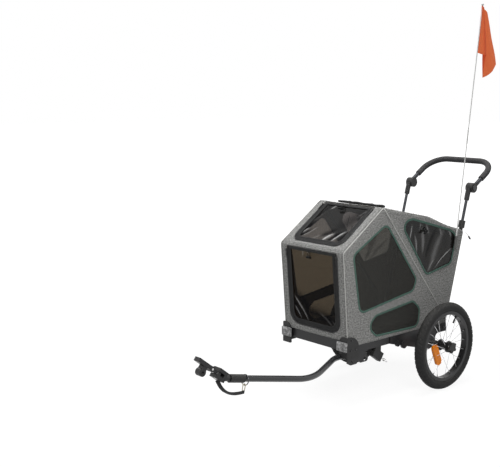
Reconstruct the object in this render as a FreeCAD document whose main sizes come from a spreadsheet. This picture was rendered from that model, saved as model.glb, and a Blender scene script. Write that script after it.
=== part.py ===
import FreeCAD, Part
import math
import os
import re
from types import SimpleNamespace

# A dog trailer for a bicycle: two spoked wheels under a tube frame, a fabric cabin with windows,
# a push handle at the back, a safety flag and a drawbar with its hitch on the left.
# X runs forward, Y to the left and Z up. The origin is on the ground, in the middle of the length.

doc = FreeCAD.newDocument("dog_bike_trailer")
V = FreeCAD.Vector
X_AXIS = V(1, 0, 0)
Y_AXIS = V(0, 1, 0)
Z_AXIS = V(0, 0, 1)

# Driving dimensions in millimetres, angles in degrees
dimensions = {
    # Fits and clearances
    "seam_gap": 0.3,
    "shaft_gap": 0.05,
    "overrun": 1,
    # Wheels
    "wheel_radius": 199,
    "wheel_standoff": 75,
    "tyre_half": 22,
    "tyre_wall": 4,
    "bead_depth": 5,
    "rim_depth": 15,
    "rim_width": 30,
    "rim_wall": 2,
    "hub_length": 56,
    "hub_barrel": 17,
    "flange_radius": 26,
    "flange_thick": 4,
    "flange_inset": 4,
    "bearing_radius": 14,
    "bearing_width": 8,
    "spoke_radius": 1,
    "spoke_spread": 3,
    "spoke_gap": 0.6,
    "spoke_skew": 25,
    "spoke_start": -19.5,
    "side_reflector_length": 102,
    "side_reflector_height": 35,
    "side_reflector_thick": 8,
    "side_reflector_radius": 73,
    "side_reflector_corner_radius": 15,
    "side_reflector_angle": -22.7,
    # Axle and its release knobs
    "axle_radius": 6,
    "axle_depth": 70,
    "axle_collar": 15,
    "axle_stickout": 4,
    "axle_tube_radius": 10,
    "knob_radius": 19,
    "knob_lobe": 7,
    "knob_thick": 11,
    "knob_travel": 5,
    "knob_stem": 4,
    "knob_stem_length": 24,
    # Floor frame
    "body_width": 380,
    "cabin_length": 668,
    "cabin_height": 569,
    "cabin_rear": 110,
    "rail_base": 245,
    "rail_width": 25,
    "rail_height": 30,
    "rail_wall": 2,
    "rail_inset": 13,
    "front_bar_thick": 12,
    "front_bar_height": 42,
    "front_bar_base": 256,
    "board_thick": 6,
    "plate_thick": 4,
    "plate_lobe": 26,
    "plate_front": 290,
    "front_boss_radius": 13,
    "front_boss_ahead": 242,
    "front_boss_drop": 7,
    "rear_boss_radius": 18,
    "rear_boss_ahead": 199,
    "rear_boss_drop": 18,
    "boss_thick": 7,
    "plate_tail": 105,
    "plate_tail_height": 38,
    "mat_thick": 32,
    "mat_margin": 28,
    "mat_corner_radius": 30,
    "mat_roundness": 9,
    # Cabin frame
    "hoop_radius": 8,
    "hoop_wall": 1.5,
    "hoop_bend_radius": 45,
    "hoop_foot_ahead": 72,
    "hoop_knee_height": 92,
    "cross_tube_radius": 6,
    "cloth_gap": 0.5,
    "post_radius": 9,
    "post_wall": 2,
    "post_stickout": 42,
    "rear_header_drop": 22,
    "collar_radius": 15,
    "collar_height": 34,
    # Cloth cover
    "fabric_thick": 2,
    "pane_thick": 1,
    "pane_lap_width": 6,
    "window_corner_radius": 30,
    "door_margin_width": 40,
    "door_sill_height": 28,
    "door_head_height": 8,
    "door_corner_radius": 55,
    "door_gap": 1,
    "door_border_width": 22,
    "door_header_width": 10,
    "hatch_margin_width": 43,
    "hatch_sill_height": 27,
    "hatch_head_height": 8,
    "hatch_corner_radius": 45,
    "hatch_border_width": 22,
    "hatch_header_width": 10,
    # Push handle
    "rod_length": 400,
    "rod_reach": 139,
    "sleeve_radius": 12,
    "sleeve_length": 58,
    "knuckle_height": 202,
    "knuckle_setback": 19,
    "knuckle_radius": 23,
    "knuckle_thick": 17,
    "pivot_radius": 4,
    "handle_rise": 32.3,
    "handle_length": 207,
    "handle_bend_radius": 94,
    "handle_tube": 10,
    "grip_radius": 14,
    "grip_setback": 72,
    "button_radius": 13,
    "button_depth": 6,
    "button_proud": 4,
    "button_travel": 3,
    # Safety flag
    "flag_foot_back": 146,
    "flag_foot_height": 616,
    "flag_lean": 7.4,
    "pocket_length": 62,
    "pocket_wall": 1.5,
    "pocket_floor": 4,
    "plug_radius": 4,
    "plug_length": 95,
    "pole_radius": 2.3,
    "pole_length": 1116,
    "ferrule_radius": 3.4,
    "ferrule_height": 486,
    "ferrule_length": 74,
    "tip_radius": 4.5,
    "flag_hoist": 222,
    "flag_width": 112,
    "flag_thick": 1.6,
    "flag_fold": 13,
    # Front corners
    "corner_thick": 5.7,
    "corner_length": 73,
    "corner_wrap": 46,
    "corner_height": 91,
    "corner_base": 229,
    "corner_round_radius": 55,
    "front_reflector_width": 54,
    "front_reflector_height": 38,
    "front_reflector_thick": 8,
    "front_reflector_base": 260,
    # Drawbar and its socket
    "drawbar_radius": 12.5,
    "drawbar_wall": 2.5,
    "drawbar_bend_radius": 120,
    "drawbar_low_bend_radius": 330,
    "socket_inset": 42,
    "socket_height": 229,
    "socket_length": 147,
    "socket_setback": 6,
    "socket_wall": 3,
    "first_bend_ahead": 36,
    "second_bend_ahead": 248,
    "second_bend_height": 205,
    "drawbar_outset": 45,
    "drawbar_reach": 681,
    "drawbar_end_height": 299,
    "lug_thick": 5,
    "lug_drop": 49,
    "lug_front_hole": 6,
    "lug_rear_hole": 9,
    "lug_notch_width": 24,
    "lug_notch_depth": 11,
    "lug_front_step": 20,
    "lug_hole_inset": 28,
    "lug_hole_height": 13,
    "block_length": 62,
    "block_thick": 40,
    "block_width": 21,
    "block_tilt": 35,
    "block_setback": 196,
    "block_height": 209,
    "block_boss": 34,
    "release_pin_radius": 3,
    "release_pin_length": 96,
    "release_pin_head": 6,
    # Hitch
    "drawbar_sleeve_radius": 16,
    "drawbar_sleeve_length": 70,
    "elbow_radius": 11,
    "elbow_run": 22,
    "elbow_bend_radius": 15,
    "arm_rise": 38,
    "fork_length": 44,
    "fork_width": 40,
    "fork_slot": 12.6,
    "fork_neck": 32,
    "fork_pin_ahead": 8,
    "fork_pin_room": 16,
    "tongue_thick": 12,
    "tongue_radius": 14,
    "swivel_length": 40,
    "swivel_eye": 11,
    "hitch_pin_radius": 4,
    "cheek_thick": 6,
    "arm_length": 78,
    "arm_width": 30,
    "arm_thick": 16,
    "arm_root": 14,
    "cup_radius": 15,
    "cup_ahead": 35,
    "cup_drop": 31,
    "cup_width": 26,
    "cup_web": 20,
    "axle_hole_radius": 5.2,
    # Tether
    "tether_ring_radius": 20,
    "tether_ring_wire": 2,
    "tether_ring_back": 80,
    "hook_radius": 6,
    "hook_wire": 2,
    "hook_length": 26,
    "strap_width": 15,
    "strap_thick": 2,
}
spoke_count = 20
knob_lobes = 5

sheet = doc.addObject("Spreadsheet::Sheet", "Sizes")
for row, (name, value) in enumerate(dimensions.items(), start=1):
    sheet.set("A%d" % row, name)
    sheet.set("B%d" % row, str(value))
    sheet.setAlias("B%d" % row, name)
doc.recompute()
s = SimpleNamespace(**{name: float(sheet.get(name)) for name in dimensions})

nodes = []


# Building blocks
def cells(formula):
    """Turn the size names of a formula into references to the sheet's cells."""
    return re.sub(r"[a-z][a-z_]+", lambda found: "Sizes." + found.group(0), formula)


def node(obj):
    """List an object as one of the sub-parts that are written out."""
    nodes.append(obj)
    return obj


def stand(obj, base, direction):
    """Put an object on a base point with its own Z along a direction."""
    obj.Placement = FreeCAD.Placement(base, FreeCAD.Rotation(Z_AXIS, direction))
    return obj


def cylinder(name, radius, length, base, direction):
    """Make a round bar from a base point along a direction, with its sizes bound to the sheet."""
    obj = doc.addObject("Part::Cylinder", name)
    obj.setExpression("Radius", cells(radius))
    obj.setExpression("Height", cells(length))
    return stand(obj, base, direction)


def bar(name, radius, first, last):
    """Make a round bar between two points, with its radius bound to the sheet."""
    obj = doc.addObject("Part::Cylinder", name)
    obj.setExpression("Radius", cells(radius))
    obj.Height = (last - first).Length
    return stand(obj, first, last - first)


def box(name, length, width, height, corner, turn=FreeCAD.Rotation()):
    """Make a block from its lowest corner, with its sizes bound to the sheet."""
    obj = doc.addObject("Part::Box", name)
    obj.setExpression("Length", cells(length))
    obj.setExpression("Width", cells(width))
    obj.setExpression("Height", cells(height))
    obj.Placement = FreeCAD.Placement(corner, turn)
    return obj


def cut(name, base, *tools):
    """Take one or more tools out of a base."""
    result = base
    for count, tool in enumerate(tools, start=1):
        last = count == len(tools)
        step = doc.addObject("Part::Cut", name if last else "%s_step_%d" % (name, count))
        step.Base = result
        step.Tool = tool
        result = step
    return result


def fuse(name, *shapes):
    """Join shapes into one solid."""
    obj = doc.addObject("Part::MultiFuse", name)
    obj.Shapes = list(shapes)
    return obj


def group(name, *shapes):
    """Keep several separate solids together as one sub-part."""
    obj = doc.addObject("Part::Compound", name)
    obj.Links = list(shapes)
    return obj


def pipe(name, radius, bore, length, base, direction):
    """Make a straight tube with an open bore."""
    outer = cylinder(name + "_outside", radius, length, base, direction)
    inner = cylinder(name + "_bore", bore, length + " + 2 * overrun", base - direction * s.overrun, direction)
    return cut(name, outer, inner)


def line(first, last):
    return Part.LineSegment(first, last)


def unit(vector):
    return V(vector).normalize()


def outline(corners):
    """Close an outline through corners given as (point, radius), rounded where the radius isn't zero."""
    ends = []
    arcs = []
    for index, (corner, radius) in enumerate(corners):
        before = corners[index - 1][0]
        after = corners[(index + 1) % len(corners)][0]
        if radius == 0:
            ends.append((corner, corner))
            continue
        towards = unit(before - corner)
        onward = unit(after - corner)
        half = towards.getAngle(onward) / 2
        setback = radius / math.tan(half)
        middle = corner + unit(towards + onward) * (radius / math.sin(half) - radius)
        ends.append((corner + towards * setback, corner + onward * setback))
        arcs.append(Part.Arc(ends[-1][0], middle, ends[-1][1]))
    runs = [line(ends[index - 1][1], ends[index][0]) for index in range(len(ends))]
    return runs + arcs


def sketched(name, plane, edges):
    """Start a body with one sketch on one of its own origin planes."""
    body = doc.addObject("PartDesign::Body", name)
    sketch = body.newObject("Sketcher::SketchObject", name + "_outline")
    base_plane = [feature for feature in body.Origin.OriginFeatures if feature.Role == plane][0]
    sketch.AttachmentSupport = (base_plane, [""])
    sketch.MapMode = "FlatFace"
    sketch.addGeometry(edges, False)
    return body, sketch


def padded(name, plane, edges, thickness, placement):
    """Pad a sketched outline by a thickness that is bound to the sheet."""
    body, sketch = sketched(name, plane, edges)
    pad = body.newObject("PartDesign::Pad", name + "_pad")
    pad.Profile = sketch
    pad.setExpression("Length", cells(thickness))
    body.Placement = placement
    return body


def turned(name, edges, placement):
    """Turn a sketched profile, X as radius, through a full circle about its own Y axis."""
    body, sketch = sketched(name, "XY_Plane", edges)
    turn = body.newObject("PartDesign::Revolution", name + "_turn")
    turn.Profile = sketch
    turn.ReferenceAxis = (sketch, ["V_Axis"])
    turn.Angle = 360
    body.Placement = placement
    return body


def bent(points, bend, last_bend=None):
    """Join straight runs by tangent arcs of one bend radius, as a single wire; the last arc may have its own."""
    edges = []
    start = points[0]
    bends = [bend] * (len(points) - 3) + [last_bend or bend]
    for before, corner, after, radius in zip(points, points[1:], points[2:], bends):
        towards = unit(before - corner)
        onward = unit(after - corner)
        half = towards.getAngle(onward) / 2
        first = corner + towards * (radius / math.tan(half))
        last = corner + onward * (radius / math.tan(half))
        middle = corner + unit(towards + onward) * (radius / math.sin(half) - radius)
        edges.append(line(start, first).toShape())
        edges.append(Part.Arc(first, middle, last).toShape())
        start = last
    edges.append(line(start, points[-1]).toShape())
    return Part.Wire(edges)


def swept(name, wire, radius):
    """Sweep a round section, bound to the sheet, along a wire."""
    path = doc.addObject("Part::Feature", name + "_path")
    path.Shape = wire
    section = doc.addObject("Part::Circle", name + "_section")
    section.setExpression("Radius", cells(radius))
    first = wire.OrderedEdges[0]
    stand(section, first.valueAt(first.FirstParameter), first.tangentAt(first.FirstParameter))
    sweep = doc.addObject("Part::Sweep", name)
    sweep.Sections = [section]
    sweep.Spine = (path, ["Edge%d" % count for count in range(1, len(wire.Edges) + 1)])
    sweep.Solid = True
    return sweep


def bent_tube(name, wire, radius, bore):
    """Make a bent tube that is open at both ends."""
    return cut(name, swept(name + "_outside", wire, radius), swept(name + "_bore", wire, bore))


def facing(base, across, up):
    """Place a sketch plane with its X across, its Y up and its normal outwards."""
    normal = across.cross(up)
    return FreeCAD.Placement(base, FreeCAD.Rotation(across, up, normal, "XYZ"))


def at_side(side):
    return "left" if side > 0 else "right"


# Main places, worked out from the axle, which is the zero of these X values
half_width = s.body_width / 2
track_half = half_width + s.wheel_standoff
inner_width = half_width - s.fabric_thick
panel_half = inner_width - s.seam_gap
rail_top = s.rail_base + s.rail_height
floor_top = rail_top + s.board_thick
rim_outer = s.wheel_radius - 2 * s.tyre_half + s.bead_depth
rim_inner = rim_outer - s.rim_depth
tube_side = inner_width - s.pane_thick - s.cloth_gap - s.post_radius

# Corners of the cabin seen from its side, as shares of its length from the rear foot and of its height
cabin_corner_shares = {
    "rear_foot": (0, 0),
    "front_foot": (1, 0),
    "front_top": (1.0524, 0.7047),
    "ridge": (0.6886, 1),
    "roof_bend": (0.2201, 0.8822),
    "rear_top": (-0.1677, 0.7311),
}


def on_side(share):
    """Give the point on the cabin's side, in the axle's X and in Z, for a pair of shares."""
    along, up = share
    return V(along * s.cabin_length - s.cabin_rear, 0, floor_top + up * s.cabin_height)


corner = {name: on_side(share) for name, share in cabin_corner_shares.items()}
rear_rise = unit(corner["rear_top"] - corner["rear_foot"])
rear_inward = V(rear_rise.z, 0, -rear_rise.x)
post_top = corner["rear_top"] + rear_inward * (s.fabric_thick + s.cloth_gap + s.post_radius)
knuckle_place = post_top + rear_rise * s.knuckle_height - rear_inward * s.knuckle_setback
handle_rise = math.radians(s.handle_rise)
handle_way = V(-math.cos(handle_rise), 0, math.sin(handle_rise))
handle_back = knuckle_place + handle_way * s.handle_length

cabin_front = s.cabin_length - s.cabin_rear
drawbar_side = half_width + s.drawbar_outset
drawbar_last = V(cabin_front + s.drawbar_reach, drawbar_side, s.drawbar_end_height)
drawbar_low = V(cabin_front + s.second_bend_ahead, drawbar_side, s.second_bend_height)
drawbar_way = unit(drawbar_last - drawbar_low)
arm_angle = math.radians(s.arm_rise)
arm_way = V(math.cos(arm_angle), 0, math.sin(arm_angle))
arm_up = V(-math.sin(arm_angle), 0, math.cos(arm_angle))
elbow_end = drawbar_last + drawbar_way * s.elbow_run
fork_middle = elbow_end + arm_way * s.fork_neck
yaw_place = fork_middle + arm_way * s.fork_pin_ahead
nod_place = yaw_place + arm_way * s.swivel_length
arm_tip = nod_place + arm_way * s.arm_length - arm_up * (s.arm_thick / 2)

# The origin lies midway between the handle's back and the hitch's tip
axle_x = -(arm_tip.x + handle_back.x - s.grip_radius) / 2
SHIFT = V(axle_x, 0, 0)


def placed(point, y=None):
    """Move a point from the axle's X to the origin's, at its own Y or at a given one."""
    return V(point.x, point.y if y is None else y, point.z) + SHIFT


def spot(x, y, z):
    return V(x, y, z) + SHIFT


# Wheels: tyre, rim, spokes, hub, bearings and a reflector in the spokes
bearing_bore = s.axle_radius + s.shaft_gap
flange_place = s.hub_length / 2 - s.flange_inset - s.flange_thick / 2
spoke_hub = s.flange_radius + s.spoke_gap
spoke_rim = rim_inner - s.spoke_gap


def tyre_profile():
    """Give the round tyre section, cut straight where it sits on the rim, and its hollow."""
    middle = s.wheel_radius - s.tyre_half
    edges = []
    for radius, seat in ((s.tyre_half, rim_outer), (s.tyre_half - s.tyre_wall, rim_outer + s.tyre_wall)):
        half_chord = math.sqrt(radius ** 2 - (middle - seat) ** 2)
        low = V(seat, -half_chord, 0)
        high = V(seat, half_chord, 0)
        edges.append(Part.Arc(low, V(middle + radius, 0, 0), high))
        edges.append(line(high, low))
    return edges


def block_profile(inner, outer, half_length):
    """Give a plain ring's section."""
    points = [V(inner, -half_length), V(outer, -half_length), V(outer, half_length), V(inner, half_length)]
    return outline([(point, 0) for point in points])


def rim_profile():
    """Give the rim's hollow box section."""
    half = s.rim_width / 2
    return (block_profile(rim_inner, rim_outer, half)
            + block_profile(rim_inner + s.rim_wall, rim_outer - s.rim_wall, half - s.rim_wall))


def hub_profile():
    """Give the hub's barrel with two spoke flanges and an open bore."""
    end = s.hub_length / 2
    outer_face = end - s.flange_inset
    inner_face = outer_face - s.flange_thick
    half = [(s.bearing_radius, end), (s.hub_barrel, end), (s.hub_barrel, outer_face),
            (s.flange_radius, outer_face), (s.flange_radius, inner_face), (s.hub_barrel, inner_face)]
    points = [V(radius, -y) for radius, y in half] + [V(radius, y) for radius, y in reversed(half)]
    return outline([(point, 0) for point in points])


def spoke_offset(radius):
    """Give how far a spoke stands from the wheel's middle plane at a radius."""
    share = (radius - spoke_hub) / (spoke_rim - spoke_hub)
    return flange_place + (s.spoke_spread - flange_place) * share


def wheel_point(radius, angle, y):
    return V(radius * math.cos(angle), y, radius * math.sin(angle))


for side in (1, -1):
    prefix = at_side(side)
    centre = spot(0, side * track_half, s.wheel_radius)
    here = FreeCAD.Placement(centre, FreeCAD.Rotation())
    node(turned(prefix + "_tyre", tyre_profile(), here))
    node(turned(prefix + "_rim", rim_profile(), here))
    node(turned(prefix + "_hub", hub_profile(), here))
    bearings = []
    for end in (1, -1):
        middle = centre + Y_AXIS * (end * (s.hub_length - s.bearing_width) / 2)
        ring = block_profile(bearing_bore, s.bearing_radius - s.shaft_gap, s.bearing_width / 2)
        name = "%s_%s_bearing" % (prefix, "outer" if end == side else "inner")
        bearings.append(turned(name, ring, FreeCAD.Placement(middle, FreeCAD.Rotation())))
    node(group(prefix + "_bearings", *bearings))
    spokes = []
    for index in range(spoke_count):
        face = side if index % 2 == 0 else -side
        rim_angle = math.radians(s.spoke_start) + 2 * math.pi * index / spoke_count
        hub_angle = rim_angle - face * side * math.radians(s.spoke_skew)
        foot = centre + wheel_point(spoke_hub, hub_angle, face * flange_place)
        head = centre + wheel_point(spoke_rim, rim_angle, face * s.spoke_spread)
        spokes.append(bar("%s_spoke_%d" % (prefix, index), "spoke_radius", foot, head))
    node(group(prefix + "_spokes", *spokes))
    reach = s.side_reflector_height / 2
    half_long = s.side_reflector_length / 2
    plate = [V(-reach, -half_long), V(reach, -half_long), V(reach, half_long), V(-reach, half_long)]
    outer_face = spoke_offset(s.side_reflector_radius + reach) - s.spoke_radius - s.seam_gap
    reflector_face = outer_face if side > 0 else -(outer_face - s.side_reflector_thick)
    reflector_angle = math.radians(s.side_reflector_angle)
    reflector_place = centre + wheel_point(s.side_reflector_radius, reflector_angle, reflector_face)
    node(padded(prefix + "_spoke_reflector", "XZ_Plane",
                outline([(point, s.side_reflector_corner_radius) for point in plate]), "side_reflector_thick",
                FreeCAD.Placement(reflector_place, FreeCAD.Rotation(-Y_AXIS, math.degrees(reflector_angle)))))


# Axle: a tube across, a stub axle with a collar in each end, and a sprung knob that frees each wheel
plate_inner = inner_width + s.seam_gap
plate_outer = plate_inner + s.plate_thick
hub_inner = track_half - s.hub_length / 2
axle_end = track_half + s.hub_length / 2 + s.axle_stickout
knob_face = axle_end + s.knob_travel + s.seam_gap
stem_hole = knob_face - s.knob_stem_length - s.knob_travel - s.overrun
axle_centre = spot(0, 0, s.wheel_radius)
plate_round_share = 0.85


def axle_profile():
    """Give half the stub axle's section: its shank, its collar and the hole for the knob's stem."""
    bore = s.knob_stem + s.shaft_gap
    collar_start = plate_outer + s.seam_gap
    collar_end = hub_inner - s.seam_gap
    points = [(0, plate_outer - s.axle_depth), (s.axle_radius, plate_outer - s.axle_depth),
              (s.axle_radius, collar_start), (s.axle_collar, collar_start), (s.axle_collar, collar_end),
              (s.axle_radius, collar_end), (s.axle_radius, axle_end), (bore, axle_end), (bore, stem_hole),
              (0, stem_hole)]
    return outline([(V(radius, y), 0) for radius, y in points])


def plate_outline():
    """Give the side plate from the rail to the axle, with a tapered arm and an arched rear notch."""
    low = s.wheel_radius - s.plate_lobe
    tail_low = rail_top - s.plate_tail_height
    big = s.plate_lobe * plate_round_share
    corners = [(V(-s.plate_tail, rail_top), 0), (V(s.plate_front, rail_top), 0),
               (V(s.plate_front, s.rail_base), 0), (V(s.plate_lobe, low), big), (V(-s.plate_lobe, low), big),
               (V(-s.plate_lobe, tail_low), big), (V(-s.plate_tail, tail_low), 0)]
    hole = Part.Circle(V(0, s.wheel_radius), Z_AXIS, s.axle_tube_radius + s.shaft_gap)
    return outline(corners) + [hole]


node(pipe("axle_tube", "axle_tube_radius", "axle_radius + shaft_gap",
          "body_width - 2 * fabric_thick + 2 * seam_gap + 2 * plate_thick",
          spot(0, -plate_outer, s.wheel_radius), Y_AXIS))
stubs = []
plates = []
for side in (1, -1):
    prefix = at_side(side)
    way = Y_AXIS * side
    turn = FreeCAD.Rotation(Z_AXIS, 0 if side > 0 else 180)
    stubs.append(turned(prefix + "_stub_axle", axle_profile(), FreeCAD.Placement(axle_centre, turn)))
    plate_face = plate_outer if side > 0 else -plate_inner
    arm = padded(prefix + "_plate_blank", "XZ_Plane", plate_outline(), "plate_thick",
                 FreeCAD.Placement(spot(0, plate_face, 0), FreeCAD.Rotation()))
    front_boss = cylinder(prefix + "_front_boss", "front_boss_radius", "plate_thick + boss_thick",
                          spot(s.front_boss_ahead, plate_inner * side, s.rail_base - s.front_boss_drop), way)
    rear_boss = cylinder(prefix + "_rear_boss", "rear_boss_radius", "plate_thick + boss_thick",
                         spot(s.rear_boss_ahead, plate_inner * side, s.rail_base - s.rear_boss_drop), way)
    plates.append(fuse(prefix + "_axle_plate", arm, front_boss, rear_boss))
    front = axle_centre + way * knob_face
    pieces = [cylinder(prefix + "_knob_disc", "knob_radius", "knob_thick", front, way),
              cylinder(prefix + "_knob_stem", "knob_stem", "knob_stem_length + knob_thick / 2",
                       front - way * s.knob_stem_length, way)]
    for index in range(knob_lobes):
        angle = 2 * math.pi * index / knob_lobes
        lobe_place = front + wheel_point(s.knob_radius, angle, 0)
        pieces.append(cylinder("%s_knob_lobe_%d" % (prefix, index), "knob_lobe", "knob_thick", lobe_place, way))
    node(fuse(prefix + "_release_knob", *pieces))
node(group("stub_axles", *stubs))
node(group("axle_plates", *plates))

# Floor: two hollow rails, the front and rear bars, the board and the padded mat
rail_rear = -s.cabin_rear + s.rail_inset
rail_front = cabin_front - s.rail_inset
rail_length = "cabin_length - 2 * rail_inset"
rail_inside = inner_width - s.rail_width
bar_front = rail_front + s.front_bar_thick
rails = []
for side in (1, -1):
    prefix = at_side(side)
    inner_y = rail_inside if side > 0 else -inner_width
    outside = box(prefix + "_rail_outside", rail_length, "rail_width", "rail_height",
                  spot(rail_rear, inner_y, s.rail_base))
    inside = box(prefix + "_rail_inside", rail_length + " + 2 * overrun", "rail_width - 2 * rail_wall",
                 "rail_height - 2 * rail_wall",
                 spot(rail_rear - s.overrun, inner_y + s.rail_wall, s.rail_base + s.rail_wall))
    rails.append(cut(prefix + "_rail", outside, inside))
node(group("side_rails", *rails))
bar_outside = box("front_bar_outside", "front_bar_thick", "body_width - 2 * fabric_thick - 2 * seam_gap",
                  "front_bar_height", spot(rail_front, -panel_half, s.front_bar_base))
bar_inside = box("front_bar_inside", "front_bar_thick - 2 * rail_wall", "body_width",
                 "front_bar_height - 2 * rail_wall",
                 spot(rail_front + s.rail_wall, -half_width, s.front_bar_base + s.rail_wall))
front_bar = cut("front_bar", bar_outside, bar_inside)
rear_width = "body_width - 2 * fabric_thick - 2 * rail_width"
rear_outside = box("rear_bar_outside", "rail_width", rear_width, "rail_height",
                   spot(rail_rear, -rail_inside, s.rail_base))
rear_inside = box("rear_bar_inside", "rail_width - 2 * rail_wall", "body_width", "rail_height - 2 * rail_wall",
                  spot(rail_rear + s.rail_wall, -half_width, s.rail_base + s.rail_wall))
node(group("crossbars", front_bar, cut("rear_bar", rear_outside, rear_inside)))
node(box("floor_board", rail_length + " - seam_gap", "body_width - 2 * fabric_thick - 2 * seam_gap",
         "board_thick", spot(rail_rear, -panel_half, rail_top)))


def mat_ring(name, inset, height):
    """Give one level of the mat as a rounded rectangle."""
    low_x = rail_rear + s.mat_margin + inset
    high_x = rail_front - s.mat_margin - inset
    half = rail_inside - inset
    points = [V(low_x, -half), V(high_x, -half), V(high_x, half), V(low_x, half)]
    ring = doc.addObject("Part::Feature", name)
    ring.Shape = Part.Wire(Part.__sortEdges__([edge.toShape() for edge in outline(
        [(point, s.mat_corner_radius) for point in points])]))
    ring.Placement = FreeCAD.Placement(spot(0, 0, height), FreeCAD.Rotation())
    return ring


# Each level of the mat: how far its edge is drawn in and how high it lies, as shares
mat_level_shares = [(0.6, 0), (0, 0.45), (0.5, 0.85), (2.2, 1)]
mat = doc.addObject("Part::Loft", "floor_mat")
mat_base = floor_top + s.seam_gap
mat.Sections = [mat_ring("mat_level_%d" % count, drawn * s.mat_roundness, mat_base + up * s.mat_thick)
                for count, (drawn, up) in enumerate(mat_level_shares)]
mat.Solid = True
mat.Ruled = True
node(mat)


# Cabin frame: a bent hoop on each side, cross tubes and the rear posts that hold the handle
def inset_corner(before, corner_point, after, distance):
    """Give the corner of two lines that are moved inwards by a distance."""
    towards = unit(before - corner_point)
    onward = unit(after - corner_point)
    return corner_point + unit(towards + onward) * (distance / math.sin(towards.getAngle(onward) / 2))


def bend_middle(before, corner_point, after, bend):
    """Give the middle of the arc that rounds a corner."""
    towards = unit(before - corner_point)
    onward = unit(after - corner_point)
    return corner_point + unit(towards + onward) * (bend / math.sin(towards.getAngle(onward) / 2) - bend)


front_way = unit(corner["front_top"] - corner["front_foot"])
hoop_inset = s.fabric_thick + s.cloth_gap + s.hoop_radius
hoop_top = inset_corner(corner["front_foot"], corner["front_top"], corner["ridge"], hoop_inset)
hoop_ridge = inset_corner(corner["front_top"], corner["ridge"], corner["roof_bend"], hoop_inset)
bar_top = s.front_bar_base + s.front_bar_height
foot_rise = (hoop_top.z - bar_top - s.seam_gap - s.hoop_radius * front_way.x) / front_way.z
hoop_foot = hoop_top - front_way * foot_rise
hoop_knee = V(s.hoop_foot_ahead - s.cabin_rear, 0, floor_top + s.hoop_knee_height)
hoop_end = V(hoop_knee.x, 0, floor_top + s.seam_gap)
hoop_route = [hoop_foot, hoop_top, hoop_ridge, hoop_knee, hoop_end]
hoops = []
for side in (1, -1):
    path = bent([placed(point, side * tube_side) for point in hoop_route], s.hoop_bend_radius)
    hoops.append(bent_tube(at_side(side) + "_hoop", path, "hoop_radius", "hoop_radius - hoop_wall"))
node(group("side_hoops", *hoops))

hoop_room = tube_side - s.hoop_radius - s.seam_gap
front_header = bend_middle(hoop_foot, hoop_top, hoop_ridge, s.hoop_bend_radius)
ridge_header = bend_middle(hoop_top, hoop_ridge, hoop_knee, s.hoop_bend_radius)
rear_header = post_top - rear_rise * s.rear_header_drop
post_room = tube_side - s.post_radius - s.seam_gap
cross_tubes = []
for name, place, room in (("front_header", front_header, hoop_room), ("ridge_header", ridge_header, hoop_room),
                          ("rear_header", rear_header, post_room)):
    cross_tubes.append(bar(name, "cross_tube_radius", placed(place, -room), placed(place, room)))
node(group("cross_tubes", *cross_tubes))

post_height = (post_top.z - floor_top - s.seam_gap - s.post_radius * rear_inward.z) / rear_rise.z
post_foot = post_top - rear_rise * post_height
post_end = post_top + rear_rise * s.post_stickout
posts = []
collars = []
rods = []
for side in (1, -1):
    prefix = at_side(side)
    y = side * tube_side
    outside = bar(prefix + "_post_outside", "post_radius", placed(post_foot, y), placed(post_end, y))
    bore = bar(prefix + "_post_bore", "post_radius - post_wall", placed(post_foot - rear_rise * s.overrun, y),
               placed(post_end + rear_rise * s.overrun, y))
    posts.append(cut(prefix + "_post", outside, bore))
    collars.append(pipe(prefix + "_collar", "collar_radius", "post_radius + shaft_gap", "collar_height",
                        placed(post_end - rear_rise * s.collar_height, y), rear_rise))
    rods.append(cylinder(prefix + "_rod", "post_radius - post_wall - shaft_gap", "rod_length",
                         placed(post_top + rear_rise * (s.rod_reach - s.rod_length), y), rear_rise))
node(group("rear_posts", *posts))
node(group("handle_collars", *collars))
node(group("handle_rods", *rods))

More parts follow.
